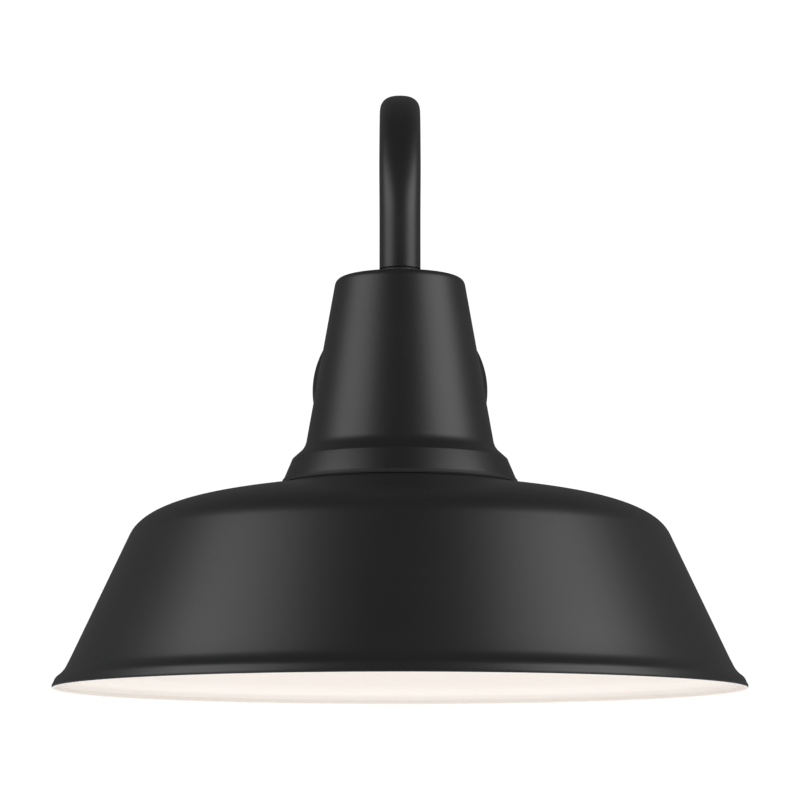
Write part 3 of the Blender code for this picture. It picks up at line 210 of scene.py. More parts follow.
def rounded(corner_list, steps):
    """Outline through corners (x, y, radius), each turned into an arc of its radius.

    An arc's centre lies on the line that halves the corner, radius / sin(half angle) from it.
    Its points are centre + (first sin((1 - t) turn) + last sin(t turn)) / sin(turn), where
    first and last are the arc's radii at the two sides that it touches.
    """
    places = np.array([corner[:2] for corner in corner_list], float)
    parts = []
    for index, (_, _, radius) in enumerate(corner_list):
        here = places[index]
        if radius == 0.0:
            parts.append(here[None])
            continue
        back = unit(places[index - 1] - here)
        ahead = unit(places[(index + 1) % len(places)] - here)
        half = math.acos(np.clip(back @ ahead, -1, 1)) / 2
        centre = here + unit(back + ahead) * radius / math.sin(half)
        first = here + back * radius / math.tan(half) - centre
        last = here + ahead * radius / math.tan(half) - centre
        turn = math.pi - 2 * half
        t = np.linspace(0, 1, steps + 1)[:, None]
        arc = (first * np.sin((1 - t) * turn) + last * np.sin(t * turn)) / math.sin(turn)
        parts.append(centre + arc)
    return np.concatenate(parts)


def full_turn(sides):
    """Angles spread evenly round a full turn."""
    return np.linspace(0, 2 * math.pi, sides, endpoint=False)


def polar(radius, height, angle):
    """Grid of points (radius cos angle, radius sin angle, height)."""
    return np.stack(
        [radius * np.cos(angle), radius * np.sin(angle), height + 0 * angle], axis=-1
    )


def revolve(outline, sides):
    """Grid of a turned surface: (r cos a, r sin a, h) for outline point (r, h) and angle a."""
    return polar(outline[:, 0, None], outline[:, 1, None], full_turn(sides))


def stacked(rings, angle):
    """Grid of rings (radius, height), where both may vary with the angle."""
    radius = np.array([ring[0] + 0 * angle for ring in rings])
    height = np.array([ring[1] + 0 * angle for ring in rings])
    return polar(radius, height, angle)


def piece(name, grid, node, finishes, ring=True, bands=None, sharp=35.0):
    """Make a closed piece of a grid (rows, columns, xyz) and let it stand for its node.

    Every row closes on itself.  With ring, the last row joins the first, as on a hoop;
    otherwise the end rows are poles.  bands gives the finish number of the faces after
    each row.  Edges of more than sharp degrees stay hard.
    """
    rows, columns = grid.shape[:2]
    number = np.arange(rows * columns).reshape(rows, columns)
    below = number if ring else number[:-1]
    above = np.roll(number, -1, axis=0) if ring else number[1:]
    faces = np.stack(
        [below, np.roll(below, -1, axis=1), np.roll(above, -1, axis=1), above], axis=-1
    )
    mesh = bpy.data.meshes.new(name)
    mesh.from_pydata(grid.reshape(-1, 3).tolist(), [], faces.reshape(-1, 4).tolist())
    if bands is not None:
        numbers = np.repeat(np.asarray(bands, np.int32), columns)
        mesh.polygons.foreach_set("material_index", numbers)
    finish_piece(name, mesh, node, finishes, sharp)


def finish_piece(name, mesh, node, finishes, sharp):
    """Close the doubles, turn the faces out, smooth, paint, and set the piece on its body."""
    builder = bmesh.new()
    builder.from_mesh(mesh)
    bmesh.ops.remove_doubles(builder, verts=builder.verts, dist=DOUBLE)
    bmesh.ops.recalc_face_normals(builder, faces=builder.faces)
    builder.to_mesh(mesh)
    builder.free()
    mesh.shade_smooth()
    mesh.set_sharp_from_angle(angle=math.radians(sharp))
    item = bpy.data.objects.new(name, mesh)
    bpy.context.scene.collection.objects.link(item)
    for material in finishes:
        mesh.materials.append(material)
    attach(item, frame["nodes"][node]["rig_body"])
    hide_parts(node)
    return item


def eased(node, width, finish):
    """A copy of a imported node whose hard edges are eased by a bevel."""
    mesh = frame["nodes"][node].data.copy()
    mesh.materials.clear()
    item = finish_piece(node + "_eased", mesh, node, [finish], 30.0)
    bevel = item.modifiers.new("eased edges", "BEVEL")
    bevel.width = width
    bevel.segments = 2
    bevel.limit_method = "ANGLE"
    bevel.angle_limit = math.radians(40)
    bevel.harden_normals = True


def flat_ring(name, node, inner, edge, finish, sides=MEDIUM):
    """A flat ring with eased edges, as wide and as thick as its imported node."""
    outer = half_width(node)
    height = length_of(node)
    outline = rounded(
        [(inner, 0, edge), (outer, 0, edge), (outer, height, edge), (inner, height, edge)], 3
    )
    piece(name, set_in(revolve(outline, sides), node), node, [finish])


# ---- shader maths -----------------------------------------------------------------------------
class Value:
    """A quantity that varies over a surface, so that shader maths reads as an expression."""

    def __init__(self, tree, socket):
        self.tree = tree
        self.socket = socket

    def maths(self, operation, first, second):
        """One Math node."""
        settings = {"operation": operation}
        return add_node(self.tree, "ShaderNodeMath", settings, {0: first, 1: second})

    def __add__(self, other):
        return self.maths("ADD", self, other)

    __radd__ = __add__

    def __sub__(self, other):
        return self.maths("SUBTRACT", self, other)

    def __rsub__(self, other):
        return self.maths("SUBTRACT", other, self)

    def __mul__(self, other):
        return self.maths("MULTIPLY", self, other)

    __rmul__ = __mul__

    def above(self, start, end):
        """0 below start, 1 above end, and smooth between them."""
        return add_node(
            self.tree, "ShaderNodeMapRange", {"interpolation_type": "SMOOTHSTEP"},
            {"Value": self, "From Min": start, "From Max": end},
        )


def feed(tree, socket, value):
    """Set a socket, or link it to a value that varies."""
    if isinstance(value, Value):
        tree.links.new(value.socket, socket)
    else:
        socket.default_value = value


def add_node(tree, kind, settings, inputs, output=0):
    """Any node: its type, its settings, the values of its sockets, and the output kept."""
    made = tree.nodes.new(kind)
    for key, value in settings.items():
        setattr(made, key, value)
    for key, value in inputs.items():
        feed(tree, made.inputs[key], value)
    return Value(tree, made.outputs[output])


class Finish:
    """A Principled finish whose patterns are worked out on the piece's own coordinates."""

    def __init__(self, name, colour, roughness, metallic=0.0, **fixed):
        self.material = bpy.data.materials.new(name)
        self.material.use_nodes = True
        self.material.diffuse_color = (*colour, 1.0)
        self.tree = self.material.node_tree
        self.shader = self.tree.nodes["Principled BSDF"]
        self.put("Base Color", (*colour, 1.0))
        self.put("Roughness", roughness)
        self.put("Metallic", metallic)
        for socket, value in fixed.items():
            self.put(socket.replace("_", " "), value)
        self.place = self.node("ShaderNodeTexCoord", {}, {}, "Object")

    def put(self, socket, value):
        """Set or link one socket of the shader."""
        feed(self.tree, self.shader.inputs[socket], value)

    def node(self, kind, settings, inputs, output=0):
        """One more node of this finish."""
        return add_node(self.tree, kind, settings, inputs, output)

    def noise(self, size, detail=2.0, roughness=0.5, stretch=None):
        """Cloudy noise from 0 to 1 whose blotches are about that size."""
        place = self.place
        if stretch is not None:
            place = self.node(
                "ShaderNodeVectorMath", {"operation": "MULTIPLY"}, {0: place, 1: stretch}
            )
        return self.node(
            "ShaderNodeTexNoise", {},
            {"Vector": place, "Scale": 1 / size, "Detail": detail, "Roughness": roughness},
            "Fac",
        )

    def cells(self, size):
        """Distance to the nearest of scattered points that are about that size apart."""
        inputs = {"Vector": self.place, "Scale": 1 / size}
        return self.node("ShaderNodeTexVoronoi", {}, inputs, "Distance")

    def blend(self, share, first, second):
        """A colour between two colours."""
        inputs = {0: share, 6: first, 7: second}
        return self.node("ShaderNodeMix", {"data_type": "RGBA"}, inputs, 2)

    def relief(self, height, depth):
        """Raise the surface by a height that runs from 0 to 1, to that depth."""
        inputs = {"Height": height, "Distance": depth, "Strength": 1.0}
        self.put("Normal", self.node("ShaderNodeBump", {}, inputs))


def shade_of(colour, factor):
    """A colour made lighter or darker, with its alpha."""
    return (*[part * factor for part in colour[:3]], 1.0)


# ---- finishes ---------------------------------------------------------------------------------
def powder_coat(name, colour, roughness):
    """Satin powder coat: fine pebbled grain over a slow orange peel, a little uneven in gloss."""
    coat = Finish(name, colour, roughness)
    pebbles = coat.noise(0.00075, 3.0, 0.55)
    peel = coat.noise(0.0050, 2.0)
    cloud = coat.noise(0.060, 3.0)
    coat.put("Base Color", coat.blend(cloud, shade_of(colour, 0.82), shade_of(colour, 1.18)))
    coat.put("Roughness", roughness - 0.04 + 0.05 * cloud + 0.04 * pebbles)
    coat.relief(pebbles + 1.6 * peel, 0.000014)
    return coat.material


def white_enamel():
    """Warm white gloss enamel inside the shade, with a faint orange peel."""
    white = (0.90, 0.845, 0.800)
    coat = Finish("warm_white_enamel", white, 0.34)
    cloud = coat.noise(0.045, 3.0)
    peel = coat.noise(0.0028, 2.0)
    coat.put("Base Color", coat.blend(cloud, shade_of(white, 0.985), shade_of(white, 1.01)))
    coat.put("Roughness", 0.30 + 0.08 * peel)
    coat.relief(peel, 0.00001)
    return coat.material


def zinc_plate():
    """Zinc plated steel: cloudy passivation, rolled scratches and a faint yellow bloom."""
    zinc = Finish("zinc_plated_steel", (0.55, 0.54, 0.50), 0.36, 1.0)
    cloud = zinc.noise(0.0060, 4.0, 0.6)
    bloom = zinc.noise(0.011, 2.0)
    scratch = zinc.noise(0.00035, 3.0, 0.6, (0.08, 1.0, 1.0))
    base = zinc.blend(cloud, (0.47, 0.47, 0.46, 1.0), (0.64, 0.63, 0.60, 1.0))
    zinc.put("Base Color", zinc.blend(0.5 * bloom.above(0.5, 0.8), base, (0.62, 0.55, 0.38, 1.0)))
    zinc.put("Roughness", 0.26 + 0.16 * cloud + 0.08 * scratch)
    zinc.relief(scratch, 0.000006)
    return zinc.material


def drawn_metal(name, colour, roughness, tarnish):
    """Bright drawn or stamped metal with fine lines and a soft tarnish in patches."""
    metal = Finish(name, colour, roughness, 1.0)
    lines = metal.noise(0.0003, 2.0, 0.5, (1.0, 1.0, 0.10))
    patches = metal.noise(0.0045, 4.0, 0.6).above(0.45, 0.75)
    metal.put("Base Color", metal.blend(0.6 * patches, (*colour, 1.0), (*tarnish, 1.0)))
    metal.put("Roughness", roughness + 0.12 * patches + 0.06 * lines)
    metal.relief(lines, 0.000004)
    return metal.material


def dyed_screw():
    """Green dyed plating that wears through to steel on the raised spots."""
    green = Finish("green_dyed_plate", (0.03, 0.25, 0.07), 0.42, 0.4)
    worn = green.noise(0.0016, 4.0, 0.65).above(0.60, 0.72)
    green.put("Base Color", green.blend(worn, (0.03, 0.25, 0.07, 1.0), (0.42, 0.44, 0.40, 1.0)))
    green.put("Roughness", 0.42 - 0.10 * worn)
    green.put("Metallic", 0.35 + 0.6 * worn)
    return green.material


def glazed_porcelain():
    """White glazed porcelain: pin holes, a slow ripple in the glaze and a creamy cast."""
    white = (0.83, 0.82, 0.78)
    glaze = Finish("glazed_porcelain", white, 0.14, Coat_Weight=0.5, Coat_Roughness=0.05)
    specks = 1 - glaze.cells(0.0042).above(0.03, 0.07)
    cream = glaze.noise(0.013, 3.0)
    base = glaze.blend(cream, (0.86, 0.85, 0.82, 1.0), (0.80, 0.77, 0.70, 1.0))
    glaze.put("Base Color", glaze.blend(0.7 * specks, base, (0.36, 0.29, 0.21, 1.0)))
    glaze.put("Roughness", 0.12 + 0.08 * cream)
    glaze.relief(glaze.noise(0.0060, 1.0) - 0.4 * specks, 0.00004)
    return glaze.material


def moulded(name, colour, roughness, grain, depth):
    """Moulded rubber or plastic: even colour, a fine matt grain and a little bloom."""
    stuff = Finish(name, colour, roughness)
    fine = stuff.noise(grain, 3.0, 0.6)
    bloom = stuff.noise(0.0090, 3.0)
    stuff.put("Base Color", stuff.blend(bloom, shade_of(colour, 0.85), shade_of(colour, 1.25)))
    stuff.put("Roughness", roughness - 0.05 + 0.10 * fine)
    stuff.relief(fine, depth)
    return stuff.material


def foam_rubber():
    """Closed cell foam: round pores that dent the surface, their colour darkened as painted shade.
    """
    foam = Finish("closed_cell_foam", (0.045, 0.045, 0.047), 0.90)
    pores_and_painted_shade = foam.cells(0.0009)
    # the base colour is darkest at each pore's centre: painted shade in the pores
    foam.put("Base Color", foam.blend(pores_and_painted_shade, (0.015, 0.015, 0.016, 1.0), (0.07, 0.07, 0.072, 1.0)))
    foam.put("Roughness", 0.82 + 0.15 * pores_and_painted_shade)
    foam.relief(pores_and_painted_shade, 0.00018)
    return foam.material


def pearl_glass():
    """White coated lamp glass, a little thinner at the coating's clouds."""
    white = (0.88, 0.87, 0.84)
    glass = Finish("pearl_lamp_glass", white, 0.22, Coat_Weight=0.35, Coat_Roughness=0.08)
    cloud = glass.noise(0.010, 4.0, 0.6)
    glass.put("Base Color", glass.blend(cloud, (0.84, 0.83, 0.79, 1.0), (0.91, 0.90, 0.88, 1.0)))
    glass.put("Roughness", 0.18 + 0.10 * cloud)
    glass.relief(glass.noise(0.0040, 1.0), 0.00002)
    return glass.material


def clear_glass():
    """Clear lamp glass with drawn cords in it."""
    glass = Finish("clear_lamp_glass", (0.90, 0.93, 0.92), 0.05, Transmission_Weight=0.9, IOR=1.5)
    cords = glass.noise(0.0015, 2.0, 0.5, (1.0, 1.0, 0.15))
    glass.put("Roughness", 0.03 + 0.05 * cords)
    glass.relief(cords, 0.00003)
    return glass.material


def black_glass():
    """Fused black glass with small bubbles."""
    black = (0.012, 0.011, 0.013)
    glass = Finish("black_fused_glass", black, 0.16)
    bubbles = 1 - glass.cells(0.0011).above(0.08, 0.2)
    glass.put("Base Color", glass.blend(bubbles, (*black, 1.0), (0.05, 0.05, 0.05, 1.0)))
    glass.put("Roughness", 0.14 + 0.2 * bubbles)
    glass.relief(1 - bubbles, 0.00004)
    return glass.material


def insulation(name, colour):
    """Extruded wire insulation: faint lines along it, dulled by talc in patches."""
    cover = Finish(name, colour, 0.45)
    talc = cover.noise(0.0040, 4.0, 0.6).above(0.5, 0.8)
    lines = cover.noise(0.0004, 2.0)
    powdered = tuple(0.7 * part + 0.12 for part in colour) + (1.0,)
    cover.put("Base Color", cover.blend(0.5 * talc, (*colour, 1.0), powdered))
    cover.put("Roughness", 0.38 + 0.25 * talc)
    cover.relief(lines, 0.00001)
    return cover.material


def tungsten_wire():
    """Dark drawn wire with turns of a fine coil on it."""
    wire = Finish("tungsten_wire", (0.25, 0.24, 0.23), 0.45, 1.0)
    turns = wire.noise(0.0002, 1.0)
    wire.put("Roughness", 0.38 + 0.2 * turns)
    wire.relief(turns, 0.00005)
    return wire.material


def studio_floor():
    """Pale seamless floor with a barely uneven tone."""
    floor = Finish("studio_floor", (0.80, 0.80, 0.79), 0.65)
    tone = floor.noise(0.40, 3.0)
    floor.put("Base Color", floor.blend(tone, (0.78, 0.78, 0.77, 1.0), (0.82, 0.82, 0.81, 1.0)))
    floor.put("Roughness", 0.60 + 0.1 * tone)
    return floor.material


BLACK = powder_coat("black_powder_coat", (0.0105, 0.0105, 0.0112), 0.43)
SHADE_BLACK = powder_coat("shade_powder_coat", (0.0110, 0.0110, 0.0116), 0.42)
LIP_BLACK = powder_coat("rim_edge_coat", (0.0105, 0.0105, 0.0112), 0.40)
WHITE = white_enamel()
ZINC = zinc_plate()
BRASS = drawn_metal("bright_brass", (0.66, 0.47, 0.18), 0.24, (0.40, 0.27, 0.12))
NICKEL = drawn_metal("nickel_plate", (0.66, 0.65, 0.62), 0.20, (0.50, 0.48, 0.43))
GREEN = dyed_screw()
PORCELAIN = glazed_porcelain()
RUBBER = moulded("black_seal_rubber", (0.012, 0.012, 0.012), 0.62, 0.0004, 0.00002)
FOAM = foam_rubber()
PEARL = pearl_glass()
CLEAR = clear_glass()
BLACK_GLASS = black_glass()
CONNECTOR = moulded("orange_connector", (0.60, 0.20, 0.03), 0.48, 0.0005, 0.00003)
TUNGSTEN = tungsten_wire()
LEADS = {
    "line": insulation("black_insulation", (0.02, 0.02, 0.02)),
    "neutral": insulation("white_insulation", (0.75, 0.74, 0.70)),
    "ground": insulation("green_insulation", (0.03, 0.24, 0.06)),
}


# ---- shade ------------------------------------------------------------------------------------
def shade_skin():
    """Outer skin from the seat to the rim's foot, as (radius, height above the rim).

    The crown is the cubic curve (1-t)^3 a + 3t(1-t)^2 b + 3t^2(1-t) c + t^3 d, whose handles
    follow the crown's and the cone's slopes.  The cone is straight, and the rim turns out in a
    hollow of large radius and over in a smaller one.
    """
    cone_end = SHADE_RADIUS - RIM_FLARE
    fall = SHADE_HEIGHT - SHOULDER_FALL - RIM_HEIGHT
    shoulder = cone_end - fall * math.tan(CONE_ANGLE)
    first = np.array([FLANGE_RADIUS, SHADE_HEIGHT])
    last = np.array([shoulder, SHADE_HEIGHT - SHOULDER_FALL])
    second = first + CROWN_REACH * np.array([math.cos(CROWN_SLOPE), -math.sin(CROWN_SLOPE)])
    third = last + SHOULDER_REACH * np.array([-math.sin(CONE_ANGLE), math.cos(CONE_ANGLE)])
    t = np.linspace(0, 1, 49)[:, None]
    crown = (1 - t) ** 3 * first + 3 * t * (1 - t) ** 2 * second
    crown += 3 * t * t * (1 - t) * third + t ** 3 * last
    cone = last + (np.array([cone_end, RIM_HEIGHT]) - last) * np.linspace(0, 1, 13)[1:-1, None]
    bends = [(SHADE_RADIUS - inset, height, radius) for inset, height, radius in RIM_BENDS]
    rim = rounded([(cone_end, RIM_HEIGHT, 0.0), *bends, (SHADE_RADIUS, 0.0, 0.0)], 9)
    return np.concatenate([crown, cone, rim])


def offset(outline, distance):
    """An outline moved sideways: each point goes along the normal of its neighbours' line."""
    along = np.gradient(outline, axis=0)
    along /= np.linalg.norm(along, axis=1, keepdims=True)
    return outline + distance * np.stack([along[:, 1], -along[:, 0]], axis=-1)


def make_shade():
    """The spun shade: black outside and round the lip, enamelled white inside."""
    skin = shade_skin()
    outer = skin[:-1]
    inner = offset(skin, SHADE_WALL)[1:-4][::-1]
    lip_inner = SHADE_RADIUS - SHADE_LIP
    bend = SHADE_LIP / 2 * LIP_BEND
    lip = rounded(
        [
            (SHADE_RADIUS, LIP_START, 0.0), (SHADE_RADIUS, 0.0, bend), (lip_inner, 0.0, bend),
            (lip_inner, LIP_END, 0.0006), (inner[0][0], inner[0][1], 0.0),
        ],
        5,
    )[:-1]
    top = np.array([[NECK_HOLE, SHADE_HEIGHT - SHADE_WALL], [NECK_HOLE, SHADE_HEIGHT]])
    outline = np.concatenate([outer, lip, inner, top])
    number = np.arange(len(outline))
    white_from = len(outer) + LIP_OUTSIDE
    bands = np.where(number < len(outer), 0, np.where(number < white_from, 1, 2))
    bands[-1] = 0
    grid = on_axis(revolve(outline, 2 * FINE), RIM)
    piece("shade_spun", grid, "shade", [SHADE_BLACK, LIP_BLACK, WHITE], bands=bands, sharp=50)


# ---- neck -------------------------------------------------------------------------------------
def make_neck():
    """The cast neck: stepped and bevelled flange, leaning side, rounded top."""
    height = length_of("neck")
    corner = FLANGE_RADIUS - FLANGE_TAPER
    waist = corner - FLANGE_BEVEL
    waist_height = FLANGE_HEIGHT + FLANGE_BEVEL_RISE
    ceiling = height - NECK_TOP_WALL
    outline = rounded(
        [
            (NECK_HOLE, 0.0, 0.0005), (FLANGE_RADIUS, 0.0, 0.0003),
            (corner, FLANGE_HEIGHT, 0.0013), (waist, waist_height, NECK_FILLET),
            (NECK_TOP_RADIUS, height, NECK_CORNER), (NIPPLE_HOLE, height, 0.0004),
            (NIPPLE_HOLE, ceiling, 0.0004), (NECK_TOP_RADIUS - NECK_WALL, ceiling, 0.005),
            (waist - NECK_WALL, waist_height, 0.002), (waist - NECK_WALL, NECK_LEDGE, 0.0),
            (NECK_HOLE, NECK_LEDGE, 0.0005),
        ],
        9,
    )
    piece("neck_cast", set_in(revolve(outline, FINE), "neck"), "neck", [BLACK], sharp=50)


def make_seal():
    """The rubber seal between neck and arm, its rim pressed a little barrel shaped."""
    radius = half_width("neck_seal")
    height = length_of("neck_seal")
    outline = rounded(
        [
            (NIPPLE_HOLE, 0, 0.0003), (radius - 0.0004, 0, 0.0006), (radius, height / 2, 0.002),
            (radius - 0.0004, height, 0.0008), (NIPPLE_HOLE, height, 0.0003),
        ],
        5,
    )
    grid = set_in(revolve(outline, MEDIUM), "neck_seal")
    piece("neck_seal_ring", grid, "neck_seal", [RUBBER])


# ---- arm --------------------------------------------------------------------------------------
def arm_line():
    """Distance out, height, direction and flattening at each station of the arm's centre line.

    Level from the wall, an arc up, straight, an arc over to straight down, and straight down
    to the neck.  An arc's points are centre + radius (sin, cos) of the direction's angle.  The
    two radii add up to (run^2 + rise^2 - straight^2) / (2 rise), where run is the distance
    from the first arc's start to the second one's highest point.  Flattening grows from 0 to 1
    over the arch's first and last FLATTENING_TURN.
    """
    low, high = corners("arm")
    radius = half_width("arm")
    reach = -low[1] - radius
    rise = high[2] - radius
    level = -high[1] + ARM_LEVEL
    run = reach - ARCH_RADIUS - level
    both = (run ** 2 + rise ** 2 - ARM_STRAIGHT ** 2) / (2 * rise)
    sweep_radius = both - ARCH_RADIUS
    lean = math.atan2(rise - both, run) + math.atan2(both, ARM_STRAIGHT)
    down = -math.pi / 2
    sweep = np.linspace(0, lean, round(sweep_radius * lean / ARM_STEP))
    arch = np.linspace(lean, down, round(ARCH_RADIUS * (lean - down) / ARM_STEP))
    out = np.concatenate([
        [-high[1]], level + sweep_radius * np.sin(sweep),
        reach - ARCH_RADIUS - ARCH_RADIUS * np.sin(arch), [reach],
    ])
    seal_top = corners("neck_seal")[1][2] + GAP
    up = np.concatenate([
        [0.0], sweep_radius * (1 - np.cos(sweep)), rise - ARCH_RADIUS * (1 - np.cos(arch)),
        [seal_top],
    ])
    angle = np.concatenate([[0.0], sweep, arch, [down]])
    begins = np.clip((lean - arch) / FLATTENING_TURN, 0, 1)
    ends = np.clip((arch - down) / FLATTENING_TURN, 0, 1)
    flat = np.concatenate([[0.0], np.zeros(len(sweep)), begins * ends, [0.0]])
    return out, up, angle, flat * flat * (3 - 2 * flat)


def make_arm():
    """The bent tube: an oval carried along the centre line, flattened where it arches.

    A section's point at angle a is width cos a across and height sin a in the arm's plane,
    pushed out by 1 + q sin^2(2a) / 4 towards the corners.
    """
    out, up, angle, flat = arm_line()
    radius = half_width("arm")
    turn = full_turn(FACETED)
    full = 1 + SQUARENESS * flat[:, None] * np.sin(2 * turn) ** 2 / 4
    skins = []
    for reach in (radius, radius - ARM_WALL):
        across = reach * (1 + WIDENING * flat)[:, None] * np.cos(turn) * full
        along = reach * (1 - FLATTENING * flat)[:, None] * np.sin(turn) * full
        y = -out[:, None] + along * np.sin(angle)[:, None]
        z = up[:, None] + along * np.cos(angle)[:, None]
        skins.append(np.stack([across, y, z], axis=-1))
    outside, inside = skins
    grid = np.concatenate([outside, inside[::-1]])
    piece("arm_tube", grid, "arm", [BLACK], sharp=50)


# ---- canopy -----------------------------------------------------------------------------------
def make_canopy():
    """The pressed canopy, its collar round the arm and the foam ring on the wall."""
    low, high = corners("canopy")
    radius = half_width("canopy")
    front = -low[1]
    back = -high[1]
    wall = 0.0012
    shoulder = 0.011
    lining = front - wall
    outline = rounded(
        [
            (radius, back, 0.0004), (radius, front, shoulder), (NIPPLE_HOLE, front, 0.0004),
            (NIPPLE_HOLE, lining, 0.0), (radius - wall, lining, shoulder - wall),
            (radius - wall, back, 0.0004),
        ],
        12,
    )
    piece("canopy_cup", on_wall(revolve(outline, FINE)), "canopy", [BLACK], sharp=50)
    foot = half_width("canopy_collar")
    height = length_of("canopy_collar")
    waist = foot - 0.0045
    foot_height = 0.0029
    waist_height = 0.0052
    outline = rounded(
        [
            (NIPPLE_HOLE, 0.0, 0.0003), (foot, 0.0, 0.0004), (foot, foot_height, 0.0008),
            (waist, waist_height, 0.0020), (waist, height, 0.0006),
            (NIPPLE_HOLE, height, 0.0003),
        ],
        6,
    )
    grid = set_in(revolve(outline, MEDIUM), "canopy_collar")
    piece("canopy_collar_turned", grid, "canopy_collar", [BLACK], sharp=50)
    ring_width = 0.0095
    inner = half_width("wall_gasket") - ring_width
    flat_ring("wall_gasket_ring", "wall_gasket", inner, 0.0005, FOAM, FINE)


# ---- nuts, washers and screws -----------------------------------------------------------------
def hexagon(flats, angle):
    """Distance from a hexagon's centre to its side: flats / 2 / cos(angle from the flat)."""
    side = math.pi / 3
    return flats / 2 / np.cos((angle + side / 2) % side - side / 2)


def nut_grid(flats, bore, height):
    """A hexagon nut: both ends are cut by a 30 degree cone, so each corner is lower.

    A side's top at angle a lies (hexagon(a) - face radius) tan 30 below the end face.
    """
    angle = full_turn(FACETED)
    side = hexagon(flats, angle)
    face = flats / 2 * NUT_FACE
    drop = (side - face) * NUT_CONE
    chamfer = height * NUT_CHAMFER
    rings = [
        (bore, chamfer), (bore + chamfer, 0), (face, 0), (side, drop), (side, height - drop),
        (face, height), (bore + chamfer, height), (bore, height - chamfer),
    ]
    return stacked(rings, angle)


def make_nuts():
    """Both lock nuts and their washers, and the small nuts under the lampholder."""
    for node in ("neck_nut", "canopy_nut"):
        grid = nut_grid(2 * (NIPPLE_RADIUS + LOCK_NUT_WALL), NIPPLE_HOLE, length_of(node))
        piece(node + "_hexagon", set_in(grid, node), node, [ZINC], sharp=20)
    for node in ("neck_washer", "canopy_washer"):
        flat_ring(node + "_turned", node, NIPPLE_HOLE, 0.0003, ZINC)
    for node in ("socket_nut_left", "socket_nut_right"):
        low, high = corners(node)
        centre = (low + high) / 2
        grid = nut_grid(SMALL_FLATS, SMALL_BORE, high[2] - low[2])
        grid = grid + np.array([centre[0], centre[1], low[2]])
        piece(node + "_hexagon", grid, node, [ZINC], sharp=20)


def cap_nut_grid(flats, bore, height, dome, depth):
    """A domed nut: hexagon below, and above it a ball's curve radius cos b, dome sin b."""
    angle = full_turn(FACETED)
    side = hexagon(flats, angle)
    face = flats / 2 * NUT_FACE
    crown = flats / 2 * DOME_FOOT
    drop = (side - face) * NUT_CONE
    rings = [(0, depth), (bore, depth), (bore, 0), (face, 0), (side, drop)]
    rings += [(side, height - drop), (crown * 1.02, height)]
    for b in np.linspace(0, math.pi / 2, 14):
        rings.append((crown * math.cos(b), height + dome * math.sin(b)))
    return stacked(rings, angle)


def thread_grid(outer, inner, length, pitch, depth, sides):
    """A threaded tube with eased ends, or a rod where its inner radius is 0.

    The radius at height h and angle a is outer - depth w, where w is the triangle wave of
    h / pitch - a / 2 pi that runs from 0 to 1, and goes over to 1 at either end.
    """
    rows = max(8, int(length / pitch * THREAD_STEPS))
    height = np.linspace(0, length, rows)[:, None]
    angle = full_turn(sides)
    phase = (height / pitch - angle / (2 * math.pi)) % 1.0
    wave = np.abs(2 * phase - 1)
    fade = np.clip(np.minimum(height, length - height) / (THREAD_FADE * pitch), 0, 1)
    skin = polar(outer - depth * (1 - (1 - wave) * fade), height, angle)
    ends = np.array([[inner, length], [inner, 0.0]])
    return np.concatenate([skin, revolve(ends, sides)])


def make_threads():
    """Nipples, studs with their cap nuts, and the bushes in the arm."""
    bore = NIPPLE_RADIUS - NIPPLE_WALL
    for node in ("neck_nipple", "canopy_nipple"):
        length = length_of(node)
        grid = thread_grid(NIPPLE_RADIUS, bore, length, NIPPLE_PITCH, NIPPLE_THREAD, MEDIUM)
        piece(node + "_thread", set_in(grid, node), node, [ZINC], sharp=60)
    flats = 0.0080
    height = 0.0050
    dome = 0.0038
    depth = 0.0053
    for side in ("left", "right"):
        node = "mounting_stud_" + side
        low, high = corners(node)
        centre = (low + high) / 2
        length = high[1] - low[1]
        grid = thread_grid(half_width(node), 0.0, length, STUD_PITCH, STUD_THREAD, SMALL)
        grid = on_wall(grid, centre[0], -high[1], centre[2])
        piece(node + "_thread", grid, node, [ZINC], sharp=60)
        node = "cap_nut_" + side
        low, high = corners(node)
        grid = cap_nut_grid(flats, SMALL_BORE, height, dome, depth)
        grid = on_wall(grid, centre[0], -high[1], centre[2])
        piece(node + "_domed", grid, node, [BLACK], ring=False, sharp=25)
    for node in ("arm_bush_neck", "arm_bush_canopy"):
        flat_ring(node + "_turned", node, NIPPLE_HOLE, 0.0004, ZINC)


def screw_grid(length):
    """A pan head screw with a cross recess, its shank threaded.

    The head's top is its height times 1 - bulge (r / head)^4, less the recess, which keeps to
    two crossing bands whose edges slope.
    """
    angle = full_turn(FACETED)
    rod = thread_grid(SHANK_RADIUS, 0.0, length, STUD_PITCH, STUD_THREAD, FACETED)[:-2]
    rod[..., 2] -= length
    tip = np.zeros((1, FACETED, 3))
    tip[..., 2] = -length
    under = [[SHANK_RADIUS * 1.02, 0.0], [HEAD_RADIUS * 0.97, 0.0]]
    side = [[HEAD_RADIUS, HEAD_HEIGHT * 0.12], [HEAD_RADIUS, HEAD_HEIGHT * 0.45]]
    r = HEAD_RADIUS * np.linspace(0.94, 0.0, 22)[:, None]
    x = r * np.cos(angle)
    y = r * np.sin(angle)
    band = HEAD_RADIUS * 0.16
    reach = HEAD_RADIUS * 0.62
    edge = HEAD_RADIUS * 0.07
    bulge = 0.35
    recess = 0.55

    def inside(distance, limit):
        return np.clip((limit - np.abs(distance)) / edge + 0.5, 0, 1)

    cross = np.maximum(inside(x, band) * inside(y, reach), inside(y, band) * inside(x, reach))
    top = HEAD_HEIGHT * (1 - bulge * (r / HEAD_RADIUS) ** 4) - cross * HEAD_HEIGHT * recess
    cap = np.stack([x, y, top], axis=-1)
    return np.concatenate([tip, rod, revolve(np.array(under + side), FACETED), cap])


